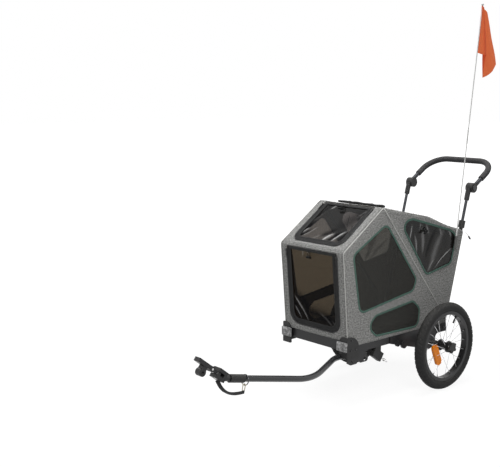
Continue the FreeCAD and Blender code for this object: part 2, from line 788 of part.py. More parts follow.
# Push handle: knuckles on the rods, a bent bar between them, a foam grip and two tilt buttons
knuckle_inner = tube_side - s.seam_gap / 2
knuckle_outer = tube_side + s.seam_gap / 2
knuckle_end = knuckle_outer + s.knuckle_thick
leg_side = knuckle_outer + s.knuckle_thick / 2
recess_floor = knuckle_end - s.button_depth - s.button_travel - s.seam_gap
leg_start = s.knuckle_radius + s.handle_tube / 2
lower_knuckles = []
upper_knuckles = []
for side in (1, -1):
    prefix = at_side(side)
    way = Y_AXIS * side
    pivot = placed(knuckle_place, 0)
    sleeve = cylinder(prefix + "_sleeve", "sleeve_radius", "sleeve_length",
                      placed(post_top + rear_rise * s.rod_reach, side * tube_side), rear_rise)
    room = cylinder(prefix + "_disc_room", "knuckle_radius + overrun", "2 * sleeve_radius",
                    pivot + way * knuckle_inner, way)
    disc = cylinder(prefix + "_inner_disc", "knuckle_radius", "knuckle_thick",
                    pivot + way * (knuckle_inner - s.knuckle_thick), way)
    pin = bar(prefix + "_tilt_pin", "pivot_radius", pivot + way * (knuckle_inner - s.knuckle_thick / 2),
              pivot + way * (recess_floor - s.seam_gap))
    lower_knuckles.append(fuse(prefix + "_lower_knuckle", cut(prefix + "_cut_sleeve", sleeve, room), disc, pin))
    outer_disc = cylinder(prefix + "_outer_disc", "knuckle_radius", "knuckle_thick",
                          pivot + way * knuckle_outer, way)
    spigot = bar(prefix + "_spigot", "knuckle_thick / 2 - seam_gap", pivot + way * leg_side,
                 pivot + way * leg_side + handle_way * leg_start)
    pin_hole = cylinder(prefix + "_tilt_hole", "pivot_radius + shaft_gap", "knuckle_thick + 2 * overrun",
                        pivot + way * (knuckle_outer - s.overrun), way)
    recess = cylinder(prefix + "_button_recess", "button_radius + seam_gap", "knuckle_thick",
                      pivot + way * recess_floor, way)
    upper_knuckles.append(cut(prefix + "_upper_knuckle", fuse(prefix + "_knuckle_blank", outer_disc, spigot),
                              pin_hole, recess))
    node(cylinder(prefix + "_tilt_button", "button_radius", "button_depth + button_proud",
                  pivot + way * (knuckle_end - s.button_depth), way))
node(group("lower_knuckles", *lower_knuckles))
node(group("upper_knuckles", *upper_knuckles))


def handle_route(start):
    """Give the handle's corners, from a distance past one knuckle round to the other."""
    return [placed(knuckle_place + handle_way * start, leg_side), placed(handle_back, leg_side),
            placed(handle_back, -leg_side), placed(knuckle_place + handle_way * start, -leg_side)]


node(bent_tube("handle_bar", bent(handle_route(leg_start), s.handle_bend_radius), "handle_tube",
               "handle_tube - post_wall"))
node(bent_tube("handle_grip", bent(handle_route(s.grip_setback), s.handle_bend_radius), "grip_radius",
               "handle_tube + shaft_gap"))

# Cloth cover: side panels with windows, front and roof frames with flaps, the rear roof and the back
panel_low = rail_top + s.seam_gap

# Window corners on each side, as shares of the cabin's length and height
window_shares = {
    "front_window": [(0.957, 0.673), (0.654, 0.865), (0.346, 0.401), (0.376, 0.320), (0.889, 0.234)],
    "low_window": [(0.808, 0.113), (0.738, 0.181), (0.371, 0.229), (0.305, 0.160), (0.316, 0.026),
                   (0.734, 0.032)],
    "rear_window": [(0.509, 0.863), (0.395, 0.877), (-0.003, 0.747), (-0.073, 0.701), (-0.024, 0.482),
                    (0.235, 0.427)],
}


def side_point(share):
    """Give a share pair as a point of a side sketch."""
    point = on_side(share)
    return V(point.x, point.z)


def grown(corners, lap):
    """Move an outline's corners outwards so that every side moves by the same lap."""
    result = []
    for index, (corner_point, radius) in enumerate(corners):
        before = corners[index - 1][0]
        after = corners[(index + 1) % len(corners)][0]
        moved = inset_corner(before, corner_point, after, -lap)
        result.append((moved, radius + lap if radius else 0))
    return result


def window(name):
    return [(side_point(share), s.window_corner_radius) for share in window_shares[name]]


def side_outline():
    """Give the side panel's outline with its three window openings."""
    drop = panel_low - floor_top
    low = [V(corner["rear_foot"].x + drop * rear_rise.x / rear_rise.z, panel_low),
           V(corner["front_foot"].x + drop * front_way.x / front_way.z, panel_low)]
    high = [V(corner[name].x, corner[name].z) for name in ("front_top", "ridge", "roof_bend", "rear_top")]
    edges = outline([(point, 0) for point in low + high])
    for name in window_shares:
        edges += outline(window(name))
    return edges


mesh_panes = []
rear_panes = []
for side in (1, -1):
    prefix = at_side(side)
    face = half_width if side > 0 else -inner_width
    node(padded(prefix + "_side_panel", "XZ_Plane", side_outline(), "fabric_thick",
                FreeCAD.Placement(spot(0, face, 0), FreeCAD.Rotation())))
    pane_face = inner_width if side > 0 else -(inner_width - s.pane_thick)
    for name in window_shares:
        pane_edges = outline(grown(window(name), s.pane_lap_width))
        pane = padded("%s_%s" % (prefix, name), "XZ_Plane", pane_edges, "pane_thick",
                      FreeCAD.Placement(spot(0, pane_face, 0), FreeCAD.Rotation()))
        (rear_panes if name == "rear_window" else mesh_panes).append(pane)
node(group("mesh_windows", *mesh_panes))
node(group("rear_windows", *rear_panes))


def trim(before, corner_point, after):
    """Give how far a panel stops short of a seam so that it clears its neighbour's thickness."""
    half = unit(before - corner_point).getAngle(unit(after - corner_point)) / 2
    return s.fabric_thick / math.tan(half) + s.seam_gap / 2


def opening(half, low, high, radius):
    """Give a flap's outline, rounded at its two lower corners."""
    return [(V(-half, low), radius), (V(half, low), radius), (V(half, high), 0), (V(-half, high), 0)]


def shrunk(corners, inset):
    """Move an outline's corners inwards, with its rounded corners kept concentric."""
    result = []
    for index, (corner_point, radius) in enumerate(corners):
        before = corners[index - 1][0]
        after = corners[(index + 1) % len(corners)][0]
        result.append((inset_corner(before, corner_point, after, inset), radius - inset if radius else 0))
    return result


def flap_panel(names, foot, way, low, high, half, sill, head, radius, border, header):
    """Make a cloth frame with a flap in it: the frame, the flap's border and the flap's clear pane."""
    frame_name, flap_name, pane_name = names
    outwards = Y_AXIS.cross(way)
    inner_face = placed(foot - outwards * s.fabric_thick)
    plane = facing(inner_face, Y_AXIS, way)
    sheet_corners = [V(-panel_half, low), V(panel_half, low), V(panel_half, high), V(-panel_half, high)]
    gap = opening(half, low + sill, high - head, radius)
    flap = shrunk(gap, s.door_gap)
    edge = s.door_gap + border
    light = opening(half - edge, low + sill + edge, high - head - s.door_gap - header, radius - edge)
    node(padded(frame_name, "XY_Plane", outline([(point, 0) for point in sheet_corners]) + outline(gap),
                "fabric_thick", plane))
    node(padded(flap_name, "XY_Plane", outline(flap) + outline(light), "fabric_thick", plane))
    node(padded(pane_name, "XY_Plane", outline(grown(light, s.pane_lap_width)), "pane_thick",
                facing(inner_face - outwards * s.pane_thick, Y_AXIS, way)))


roof_way = unit(corner["ridge"] - corner["front_top"])
front_low = (bar_top + s.seam_gap - floor_top) / front_way.z
front_high = ((corner["front_top"] - corner["front_foot"]).Length
              - trim(corner["front_foot"], corner["front_top"], corner["ridge"]))
flap_panel(("front_panel", "front_door", "front_door_window"), corner["front_foot"], front_way, front_low,
           front_high, half_width - s.door_margin_width, s.door_sill_height, s.door_head_height,
           s.door_corner_radius, s.door_border_width, s.door_header_width)
roof_low = trim(corner["front_foot"], corner["front_top"], corner["ridge"])
roof_high = ((corner["ridge"] - corner["front_top"]).Length
             - trim(corner["front_top"], corner["ridge"], corner["roof_bend"]))
flap_panel(("roof_panel", "roof_hatch", "roof_hatch_window"), corner["front_top"], roof_way, roof_low,
           roof_high, half_width - s.hatch_margin_width, s.hatch_sill_height, s.hatch_head_height,
           s.hatch_corner_radius, s.hatch_border_width, s.hatch_header_width)


def flat(point):
    return V(point.x, point.z)


def cloth_depth(first, last):
    """Give the step from a roof run's outer face to its inner one, with the run followed to the rear."""
    way = unit(last - first)
    return V(-way.z, 0, way.x) * s.fabric_thick


panel_width = "body_width - 2 * fabric_thick - 2 * seam_gap"
across_panel = FreeCAD.Placement(spot(0, panel_half, 0), FreeCAD.Rotation())
ridge_cut = trim(corner["front_top"], corner["ridge"], corner["roof_bend"])
rear_cut = trim(corner["roof_bend"], corner["rear_top"], corner["rear_foot"])
top_start = corner["ridge"] + unit(corner["roof_bend"] - corner["ridge"]) * ridge_cut
top_end = corner["rear_top"] + unit(corner["roof_bend"] - corner["rear_top"]) * rear_cut
top_inner = inset_corner(corner["ridge"], corner["roof_bend"], corner["rear_top"], s.fabric_thick)
top_points = [top_start, corner["roof_bend"], top_end,
              top_end + cloth_depth(corner["roof_bend"], corner["rear_top"]), top_inner,
              top_start + cloth_depth(corner["ridge"], corner["roof_bend"])]
top_sheet = padded("top_sheet", "XZ_Plane", outline([(flat(point), 0) for point in top_points]), panel_width,
                   across_panel)
post_holes = [bar(at_side(side) + "_post_hole", "post_radius + seam_gap", placed(post_foot, side * tube_side),
                  placed(post_end, side * tube_side)) for side in (1, -1)]
node(cut("top_panel", top_sheet, *post_holes))

back_low = corner["rear_foot"] + rear_rise * ((panel_low - floor_top) / rear_rise.z)
back_high = corner["rear_top"] - rear_rise * rear_cut
back_depth = rear_inward * s.fabric_thick
back_points = [back_low, back_high, back_high + back_depth, back_low + back_depth]
back_edges = outline([(flat(point), 0) for point in back_points])
node(padded("rear_panel", "XZ_Plane", back_edges, panel_width, across_panel))

# Safety flag: a cloth pocket on the left side, a pole in two lengths with a ferrule, and a pennant
flag_lean = math.radians(s.flag_lean)
flag_way = V(-math.sin(flag_lean), 0, math.cos(flag_lean))
flag_back = V(-math.cos(flag_lean), 0, -math.sin(flag_lean))
pocket_bore = s.plug_radius + s.seam_gap
flag_side = half_width + s.seam_gap + pocket_bore + s.pocket_wall
flag_foot = spot(-s.flag_foot_back, flag_side, s.flag_foot_height)
pocket = cylinder("pocket_outside", "plug_radius + seam_gap + pocket_wall", "pocket_length", flag_foot,
                  flag_way)
pocket_hole = cylinder("pocket_hole", "plug_radius + seam_gap", "pocket_length",
                       flag_foot + flag_way * s.pocket_floor, flag_way)
node(cut("flag_pocket", pocket, pocket_hole))
plug_foot = flag_foot + flag_way * (s.pocket_floor + s.seam_gap)
pole_tip = flag_foot + flag_way * s.pole_length
tip_ball = doc.addObject("Part::Sphere", "flag_tip")
tip_ball.setExpression("Radius", cells("tip_radius"))
tip_ball.Placement = FreeCAD.Placement(pole_tip, FreeCAD.Rotation())
node(fuse("flag_pole", cylinder("flag_plug", "plug_radius", "plug_length", plug_foot, flag_way),
          bar("flag_rod", "pole_radius", plug_foot, pole_tip),
          cylinder("flag_ferrule", "ferrule_radius", "ferrule_length", flag_foot + flag_way * s.ferrule_height,
                   flag_way), tip_ball))

# Levels of the hanging pennant: drop along the pole, first and last reach behind it, depth of its folds,
# as shares of the hoist, the width and the fold
flag_level_shares = [(0, 0, 0.2, 0.25), (0.55, 0, 0.62, 0.8), (1, 0.04, 1, 1), (1.18, 0.3, 0.93, 0.8),
                     (1.42, 0.42, 0.6, 0.4)]
flag_pleats = 4


def flag_ring(name, level):
    """Give one level of the pennant: a zigzag strip of cloth seen from above, closed at its thickness."""
    drop, near, far, depth = level
    start = pole_tip - flag_way * (s.tip_radius + s.seam_gap + drop * s.flag_hoist)
    near_reach = s.pole_radius + s.seam_gap + near * s.flag_width
    far_reach = s.pole_radius + s.seam_gap + far * s.flag_width
    face = []
    rear = []
    for index in range(flag_pleats + 1):
        reach = near_reach + (far_reach - near_reach) * index / flag_pleats
        swing = 0 if index == 0 else depth * s.flag_fold * (1 if index % 2 else -1)
        face.append(start + flag_back * reach + Y_AXIS * (swing + s.flag_thick / 2))
        rear.append(start + flag_back * reach + Y_AXIS * (swing - s.flag_thick / 2))
    points = face + rear[::-1]
    ring = doc.addObject("Part::Feature", name)
    ring.Shape = Part.makePolygon(points + points[:1])
    return ring


flag = doc.addObject("Part::Loft", "flag")
flag.Sections = [flag_ring("flag_level_%d" % count, level) for count, level in enumerate(flag_level_shares)]
flag.Solid = True
flag.Ruled = True
node(flag)

# Front corners: a moulded bracket round each front corner and a reflector on its face
corner_top = s.corner_base + s.corner_height
corner_face = corner["front_foot"].x + (corner_top - floor_top) * front_way.x / front_way.z + s.seam_gap
corner_front = corner_face + s.corner_thick
corner_rear = corner_front - s.corner_length
corner_inner = half_width + s.seam_gap
corner_outer = corner_inner + s.corner_thick
socket_side = half_width - s.socket_inset
brackets = []
reflectors = []
for side in (1, -1):
    prefix = at_side(side)
    shape = [(V(corner_rear, s.corner_base), 0), (V(corner_front, s.corner_base), 0),
             (V(corner_front, corner_top), 0), (V(corner_rear, corner_top), s.corner_round_radius)]
    face = corner_outer if side > 0 else -corner_inner
    side_plate = padded(prefix + "_corner_side", "XZ_Plane", outline(shape), "corner_thick",
                        FreeCAD.Placement(spot(0, face, 0), FreeCAD.Rotation()))
    wrap_end = corner_outer - s.corner_wrap
    wrap = [(V(side * wrap_end, s.corner_base), 0), (V(side * corner_outer, s.corner_base), 0),
            (V(side * corner_outer, corner_top), 0), (V(side * wrap_end, corner_top), s.corner_wrap / 2)]
    front_plate = padded(prefix + "_corner_front", "YZ_Plane", outline(wrap), "corner_thick",
                         FreeCAD.Placement(spot(corner_face, 0, 0), FreeCAD.Rotation()))
    low_y = inner_width + s.seam_gap if side > 0 else -corner_inner
    side_seat = box(prefix + "_corner_side_seat", "corner_length", "fabric_thick",
                    "rail_base + rail_height - corner_base", spot(corner_rear, low_y, s.corner_base))
    seat_y = wrap_end if side > 0 else -panel_half
    front_seat = box(prefix + "_corner_front_seat", "corner_thick",
                     "corner_wrap - corner_thick - fabric_thick - 2 * seam_gap",
                     "front_bar_base + front_bar_height - corner_base",
                     spot(bar_front + s.seam_gap, seat_y, s.corner_base))
    bracket = fuse(prefix + "_corner", side_plate, front_plate, side_seat, front_seat)
    if side > 0:
        notch = cylinder("drawbar_notch", "drawbar_radius + socket_wall + seam_gap",
                         "corner_length + 2 * overrun",
                         spot(corner_rear - s.overrun, socket_side, s.socket_height), X_AXIS)
        bracket = cut("left_notched_corner", bracket, notch)
    brackets.append(bracket)
    lens_y = corner_outer - s.front_reflector_width if side > 0 else -corner_outer
    reflectors.append(box(prefix + "_front_reflector", "front_reflector_thick", "front_reflector_width",
                          "front_reflector_height", spot(corner_front, lens_y, s.front_reflector_base)))
node(group("front_corners", *brackets))
node(group("front_reflectors", *reflectors))

# Drawbar socket: a steel tube under the left rail with a flange and a drilled lug, and the release pin's block
socket_front = cabin_front - s.socket_setback
socket_rear = socket_front - s.socket_length
socket_foot = spot(socket_rear, socket_side, s.socket_height)
seat_height = s.rail_base - s.seam_gap
lug_low = seat_height - s.lug_drop
lug_rear = socket_rear + s.lug_hole_inset / 2
lug_front = socket_front + s.lug_thick
socket_outside = cylinder("socket_outside", "drawbar_radius + socket_wall", "socket_length", socket_foot,
                          X_AXIS)
socket_bore = cylinder("socket_bore", "drawbar_radius + shaft_gap", "socket_length + 2 * overrun",
                       socket_foot - X_AXIS * s.overrun, X_AXIS)
flange = box("socket_flange", "socket_length - lug_hole_inset", "socket_inset - fabric_thick", "lug_thick",
             spot(socket_rear + s.lug_hole_inset, socket_side, seat_height - s.lug_thick))
lug_middle = (lug_rear + lug_front) / 2
lug_step = lug_low + s.lug_notch_depth
lug_round = s.lug_hole_height / 2
lug_corners = [(V(lug_rear, lug_low), s.lug_hole_height),
               (V(lug_middle - s.lug_notch_width / 2, lug_low), lug_round), (V(lug_middle, lug_step), 0),
               (V(lug_middle + s.lug_notch_width / 2, lug_low), lug_round),
               (V(lug_front - s.lug_front_step, lug_low), lug_round), (V(lug_front, lug_step), 0),
               (V(lug_front, seat_height), 0), (V(lug_rear + s.lug_hole_inset, seat_height), 0)]
hole_height = lug_low + s.lug_hole_height
lug_holes = [Part.Circle(V(lug_rear + s.lug_hole_inset, hole_height), Z_AXIS, s.lug_rear_hole),
             Part.Circle(V(lug_front - s.lug_hole_inset, hole_height), Z_AXIS, s.lug_front_hole)]
lug = padded("socket_lug", "XZ_Plane", outline(lug_corners) + lug_holes, "lug_thick",
             FreeCAD.Placement(spot(0, inner_width, 0), FreeCAD.Rotation()))
node(cut("drawbar_socket", fuse("socket_blank", socket_outside, flange, lug), socket_bore))

block_tilt = FreeCAD.Rotation(Y_AXIS, -s.block_tilt)
pin_way = block_tilt.multVec(-X_AXIS)
block_up = block_tilt.multVec(Z_AXIS)
block_y = inner_width - s.block_width
block_ahead = cabin_front - s.block_setback
block_middle = spot(block_ahead, block_y + s.block_width / 2, s.block_height)
block_corner = (block_middle + pin_way * (s.block_length / 2) - block_up * (s.block_thick / 2)
                - Y_AXIS * (s.block_width / 2))
block = box("block_body", "block_length", "block_width", "block_thick", block_corner, block_tilt)
boss = box("block_boss_body", "block_boss", "block_width", "rail_base - seam_gap - block_height",
           spot(block_ahead - s.block_boss / 2, block_y, s.block_height))
pin_start = block_middle - pin_way * (s.block_length / 2)
pin_end = pin_start + pin_way * s.release_pin_length
pin_hole = bar("release_pin_hole", "release_pin_radius + shaft_gap", pin_start - pin_way * s.block_length,
               pin_end)
node(cut("pin_block", fuse("pin_block_blank", block, boss), pin_hole))
node(fuse("release_pin", bar("release_pin_shank", "release_pin_radius", pin_start, pin_end),
          cylinder("release_pin_cap", "release_pin_head", "release_pin_head", pin_end, -pin_way)))

# Drawbar: a bent tube from the socket to the hitch, with a sleeve on its front end
drawbar_route = [V(socket_rear, socket_side, s.socket_height),
                 V(cabin_front + s.first_bend_ahead, socket_side, s.socket_height), drawbar_low, drawbar_last]
drawbar_path = bent([placed(point) for point in drawbar_route], s.drawbar_bend_radius, s.drawbar_low_bend_radius)
node(bent_tube("drawbar", drawbar_path, "drawbar_radius", "drawbar_radius - drawbar_wall"))
node(pipe("drawbar_sleeve", "drawbar_sleeve_radius", "drawbar_radius + shaft_gap", "drawbar_sleeve_length",
          placed(drawbar_last - drawbar_way * s.drawbar_sleeve_length), drawbar_way))

# Hitch: a fork on the drawbar, a swivel that turns in it, and the arm with the cup for the wheel axle
arm_turn = FreeCAD.Rotation(Y_AXIS, -s.arm_rise)


def arm_box(name, length, width, height, start, half_width_here, rise):
    """Make a block along the arm, from a start point, centred across and raised by a distance."""
    corner_point = placed(start - Y_AXIS * half_width_here + arm_up * rise)
    return box(name, length, width, height, corner_point, arm_turn)


fork_back = fork_middle - arm_way * (s.fork_length / 2)
fork_body = arm_box("fork_body", "fork_length", "fork_width", "fork_width", fork_back, s.fork_width / 2,
                    -s.fork_width / 2)
elbow_route = [placed(drawbar_last), placed(elbow_end), placed(fork_back + arm_way * s.overrun)]
elbow = swept("hitch_elbow", bent(elbow_route, s.elbow_bend_radius), "elbow_radius")
slot = arm_box("fork_slot_room", "fork_length", "fork_width + 2 * overrun", "fork_slot",
               yaw_place - arm_way * s.fork_pin_room, s.fork_width / 2 + s.overrun, -s.fork_slot / 2)
yaw_low = placed(yaw_place - arm_up * (s.fork_width / 2))
yaw_high = placed(yaw_place + arm_up * (s.fork_width / 2))
fork_hole = bar("fork_hole", "hitch_pin_radius + shaft_gap", yaw_low - arm_up * s.overrun,
                yaw_high + arm_up * s.overrun)
node(cut("hitch_fork", fuse("fork_blank", fork_body, elbow), slot, fork_hole))

tongue = cylinder("tongue", "tongue_radius", "tongue_thick",
                  placed(yaw_place - arm_up * (s.tongue_thick / 2)), arm_up)
neck = arm_box("swivel_neck", "swivel_length", "tongue_thick", "tongue_thick", yaw_place, s.tongue_thick / 2,
               -s.tongue_thick / 2)
eye = cylinder("swivel_eye_body", "swivel_eye", "tongue_thick",
               placed(nod_place - Y_AXIS * (s.tongue_thick / 2)), Y_AXIS)
yaw_hole = bar("swivel_yaw_hole", "hitch_pin_radius + shaft_gap", yaw_low, yaw_high)
nod_half = s.tongue_thick / 2 + s.seam_gap + s.cheek_thick
nod_low = placed(nod_place - Y_AXIS * nod_half)
nod_high = placed(nod_place + Y_AXIS * nod_half)
nod_hole = bar("swivel_nod_hole", "hitch_pin_radius + shaft_gap", nod_low, nod_high)
node(cut("hitch_swivel", fuse("swivel_blank", tongue, neck, eye), yaw_hole, nod_hole))
node(group("hitch_pins", bar("yaw_pin", "hitch_pin_radius", yaw_low, yaw_high),
           bar("nod_pin", "hitch_pin_radius", nod_low, nod_high)))

arm_pieces = [arm_box("arm_bar", "arm_length - arm_root", "arm_width", "arm_thick",
                      nod_place + arm_way * s.arm_root, s.arm_width / 2, -s.arm_thick / 2)]
for side in (1, -1):
    prefix = at_side(side)
    cheek_near = nod_place + Y_AXIS * (side * (nod_half - s.cheek_thick / 2))
    arm_pieces.append(cylinder(prefix + "_cheek_eye", "swivel_eye", "cheek_thick",
                               placed(cheek_near - Y_AXIS * (s.cheek_thick / 2)), Y_AXIS))
    arm_pieces.append(arm_box(prefix + "_cheek", "arm_root + overrun", "cheek_thick", "arm_thick", cheek_near,
                              s.cheek_thick / 2, -s.arm_thick / 2))
cup_place = nod_place + arm_way * s.cup_ahead - arm_up * s.cup_drop
arm_pieces.append(cylinder("axle_cup", "cup_radius", "cup_width",
                           placed(cup_place - Y_AXIS * (s.cup_width / 2)), Y_AXIS))
arm_pieces.append(arm_box("cup_web_body", "cup_web", "cup_width", "cup_drop",
                          cup_place - arm_way * (s.cup_web / 2), s.cup_width / 2, 0))
axle_hole = cylinder("axle_hole", "axle_hole_radius", "cup_width + 2 * overrun",
                     placed(cup_place - Y_AXIS * (s.cup_width / 2 + s.overrun)), Y_AXIS)
cheek_hole = bar("cheek_hole", "hitch_pin_radius + shaft_gap", nod_low - Y_AXIS * s.overrun,
                 nod_high + Y_AXIS * s.overrun)
node(cut("hitch_arm", fuse("arm_blank", *arm_pieces), axle_hole, cheek_hole))

# Tether: a ring round the drawbar, a snap hook on it and a webbing strap back to the fork
drawbar_up = V(-drawbar_way.z, 0, drawbar_way.x)
ring_hang = s.tether_ring_radius - s.tether_ring_wire - s.drawbar_radius - s.seam_gap
ring_centre = drawbar_last - drawbar_way * s.tether_ring_back - drawbar_up * ring_hang
ring = doc.addObject("Part::Torus", "tether_ring")
ring.setExpression("Radius1", cells("tether_ring_radius"))
ring.setExpression("Radius2", cells("tether_ring_wire"))
stand(ring, placed(ring_centre), drawbar_way)
hook_inner = s.hook_radius - s.hook_wire
hook_top = ring_centre + drawbar_up * (s.tether_ring_wire + s.seam_gap - s.tether_ring_radius - hook_inner)
hook_run = s.hook_length - 2 * s.hook_radius
hook_low = hook_top - drawbar_up * hook_run
hook_pieces = []
for end, name in ((hook_top, "upper"), (hook_low, "lower")):
    bow = doc.addObject("Part::Torus", "hook_%s_bow" % name)
    bow.setExpression("Radius1", cells("hook_radius"))
    bow.setExpression("Radius2", cells("hook_wire"))
    bow.Angle3 = 180
    outward = drawbar_up if name == "upper" else -drawbar_up
    across = outward.cross(Y_AXIS)
    bow.Placement = FreeCAD.Placement(placed(end), FreeCAD.Rotation(-across, outward, V(0, 0, 0), "XYZ"))
    hook_pieces.append(bow)
for end in (1, -1):
    shift = drawbar_way * (end * s.hook_radius)
    hook_pieces.append(bar("hook_%s_leg" % at_side(end), "hook_wire", placed(hook_top + shift),
                           placed(hook_low + shift)))
node(group("tether_hardware", ring, fuse("snap_hook", *hook_pieces)))

# The strap's route, in the axle's X and in Z, from under the fork back to the hook
strap_route = [(1294.8, 303.7), (1283, 279), (1264, 257), (1238, 241), (1208, 233.5), (1183, 231.2),
               (1165, 231.0)]
strap_points = [spot(x, drawbar_side, z) for x, z in strap_route]
setback_share = 0.45
strap_edges = []
strap_radii = []
strap_start = strap_points[0]
for before, turn_point, after in zip(strap_points, strap_points[1:], strap_points[2:]):
    towards = unit(before - turn_point)
    onward = unit(after - turn_point)
    half = towards.getAngle(onward) / 2
    shorter = min((before - turn_point).Length, (after - turn_point).Length)
    setback = setback_share * shorter
    bend = setback * math.tan(half)
    strap_radii.append(bend)
    first = turn_point + towards * setback
    last = turn_point + onward * setback
    middle = turn_point + unit(towards + onward) * (bend / math.sin(half) - bend)
    strap_edges.append(line(strap_start, first).toShape())
    strap_edges.append(Part.Arc(first, middle, last).toShape())
    strap_start = last
strap_edges.append(line(strap_start, strap_points[-1]).toShape())
strap_path = doc.addObject("Part::Feature", "strap_path")
strap_path.Shape = Part.Wire(strap_edges)
first_way = unit(strap_points[1] - strap_points[0])
strap_across = Y_AXIS * (s.strap_width / 2)
strap_thick = first_way.cross(Y_AXIS) * (s.strap_thick / 2)
section_corners = [strap_across + strap_thick, strap_across - strap_thick, -strap_across - strap_thick,
                   -strap_across + strap_thick]
strap_section = doc.addObject("Part::Feature", "strap_section")
section_loop = section_corners + section_corners[:1]
strap_section.Shape = Part.makePolygon([strap_points[0] + point for point in section_loop])
strap = doc.addObject("Part::Sweep", "safety_strap")
strap.Sections = [strap_section]
strap.Spine = (strap_path, ["Edge%d" % count for count in range(1, len(strap_edges) + 1)])
strap.Solid = True
node(strap)

# Recompute, check every object and write one file for each sub-part
doc.recompute()
for obj in doc.Objects:
    if "Invalid" in obj.State or "Error" in obj.State:
        raise RuntimeError("%s failed: %s" % (obj.Name, obj.State))
os.makedirs("parts", exist_ok=True)
for obj in nodes:
    if obj.Shape.isNull() or not obj.Shape.isValid():
        raise RuntimeError("%s has no valid shape" % obj.Label)
strap_section_area = s.strap_width * s.strap_thick
strap_volume_share = strap.Shape.Volume / (strap_section_area * strap_path.Shape.Length)
print("strap radii", [round(radius) for radius in strap_radii], "volume share", round(strap_volume_share, 3))
for obj in nodes:
    obj.Shape.exportStep("parts/%s.step" % obj.Label)
print(len(nodes), "sub-parts")
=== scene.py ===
import math

import bpy
import numpy as np
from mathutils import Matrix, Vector, geometry


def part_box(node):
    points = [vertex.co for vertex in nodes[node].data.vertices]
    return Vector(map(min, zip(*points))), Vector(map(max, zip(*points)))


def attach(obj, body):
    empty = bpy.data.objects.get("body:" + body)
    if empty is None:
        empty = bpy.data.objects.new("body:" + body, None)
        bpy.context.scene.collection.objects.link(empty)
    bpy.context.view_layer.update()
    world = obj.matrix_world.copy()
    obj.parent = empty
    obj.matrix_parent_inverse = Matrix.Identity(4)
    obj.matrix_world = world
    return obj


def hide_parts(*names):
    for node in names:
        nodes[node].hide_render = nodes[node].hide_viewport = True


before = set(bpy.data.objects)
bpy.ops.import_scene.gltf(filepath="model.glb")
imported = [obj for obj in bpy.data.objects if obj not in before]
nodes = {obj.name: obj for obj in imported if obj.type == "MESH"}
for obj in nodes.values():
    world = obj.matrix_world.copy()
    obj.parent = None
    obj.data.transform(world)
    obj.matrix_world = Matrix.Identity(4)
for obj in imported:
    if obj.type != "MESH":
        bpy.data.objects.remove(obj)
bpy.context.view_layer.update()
tyre_low, tyre_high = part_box("left_tyre")
axle = (tyre_low + tyre_high) / 2
scene = bpy.context.scene


# Studio: a pale floor in a white room, with soft lights above, in front and to both sides, and the camera where the
# photograph was taken from, a little above the trailer's front left.
def add(name, data):
    """A new object in the scene."""
    made = bpy.data.objects.new(name, data)
    scene.collection.objects.link(made)
    return made


def turn_to(thing, way):
    """Turns a light or a camera to look along a direction."""
    thing.rotation_mode = "QUATERNION"
    thing.rotation_quaternion = way.to_track_quat("-Z", "Y")


def settle(node, values):
    """Sets a node's sockets by name; a colour is given as three numbers."""
    for label, value in values.items():
        socket = node.inputs[label]
        socket.default_value = (*value, 1) if socket.type == "RGBA" else value
    return node


def put(tree, kind, values=None, **settings):
    """A new shader node with its own settings and with some sockets set."""
    node = tree.nodes.new("ShaderNode" + kind)
    for label, value in settings.items():
        setattr(node, label, value)
    return settle(node, values or {})


def feed(tree, socket, value):
    """Links a socket to another one, or sets it to a number or a colour."""
    if isinstance(value, (int, float)):
        socket.default_value = value
    elif isinstance(value, tuple):
        socket.default_value = (*value, 1)
    else:
        tree.links.new(value, socket)


def sums(tree, operation, *values):
    """A math node on sockets or numbers; gives its output."""
    node = put(tree, "Math", operation=operation)
    for socket, value in zip(node.inputs, values):
        feed(tree, socket, value)
    return node.outputs[0]


def blend(tree, factor, first, second):
    """A mix of two shader nodes by a factor; gives the node."""
    node = put(tree, "MixShader")
    for socket, value in zip(node.inputs, (factor, first.outputs[0], second.outputs[0])):
        feed(tree, socket, value)
    return node


def new_look(name):
    """A new material; gives it with its node tree."""
    made = bpy.data.materials.new(name)
    made.use_nodes = True
    return made, made.node_tree


def show(tree, skin):
    """Puts a shader node on the material's surface."""
    tree.links.new(skin.outputs[0], tree.nodes["Material Output"].inputs["Surface"])


def sees_white(tree):
    """1 for a ray from the camera, off a glossy surface or through glass, which shows the white room as it is."""
    rays = put(tree, "LightPath").outputs
    return sums(tree, "MAXIMUM", sums(tree, "MAXIMUM", rays["Is Camera Ray"], rays["Is Glossy Ray"]),
                rays["Is Transmission Ray"])


scene.world = bpy.data.worlds.new("room")
scene.world.use_nodes = True
tree = scene.world.node_tree
room = blend(tree, sees_white(tree), settle(tree.nodes["Background"], {"Color": (1, 1, 1), "Strength": 0.32}),
             put(tree, "Background", {"Color": (1, 1, 1), "Strength": 1.0}))
tree.links.new(room.outputs[0], tree.nodes["World Output"].inputs["Surface"])

floor_mesh = bpy.data.meshes.new("floor")
floor_mesh.from_pydata([(-30, -30, 0), (30, -30, 0), (30, 30, 0), (-30, 30, 0)], [], [(0, 1, 2, 3)])
add("floor", floor_mesh)
floor_look, tree = new_look("floor")
tree.nodes.remove(tree.nodes["Principled BSDF"])
from_middle = put(tree, "VectorMath", operation="LENGTH")
tree.links.new(put(tree, "TexCoord").outputs["Object"], from_middle.inputs[0])
fading = put(tree, "MapRange", {"From Min": 1.0, "From Max": 3.0, "To Min": 0.74, "To Max": 1.0},
             interpolation_type="SMOOTHSTEP")
tree.links.new(from_middle.outputs["Value"], fading.inputs["Value"])
show(tree, blend(tree, sums(tree, "MULTIPLY", sees_white(tree), fading.outputs["Result"]),
                 put(tree, "BsdfDiffuse", {"Color": (0.55, 0.55, 0.55)}),
                 put(tree, "Emission", {"Color": (1, 1, 1), "Strength": 1.22})))
floor_mesh.materials.append(floor_look)


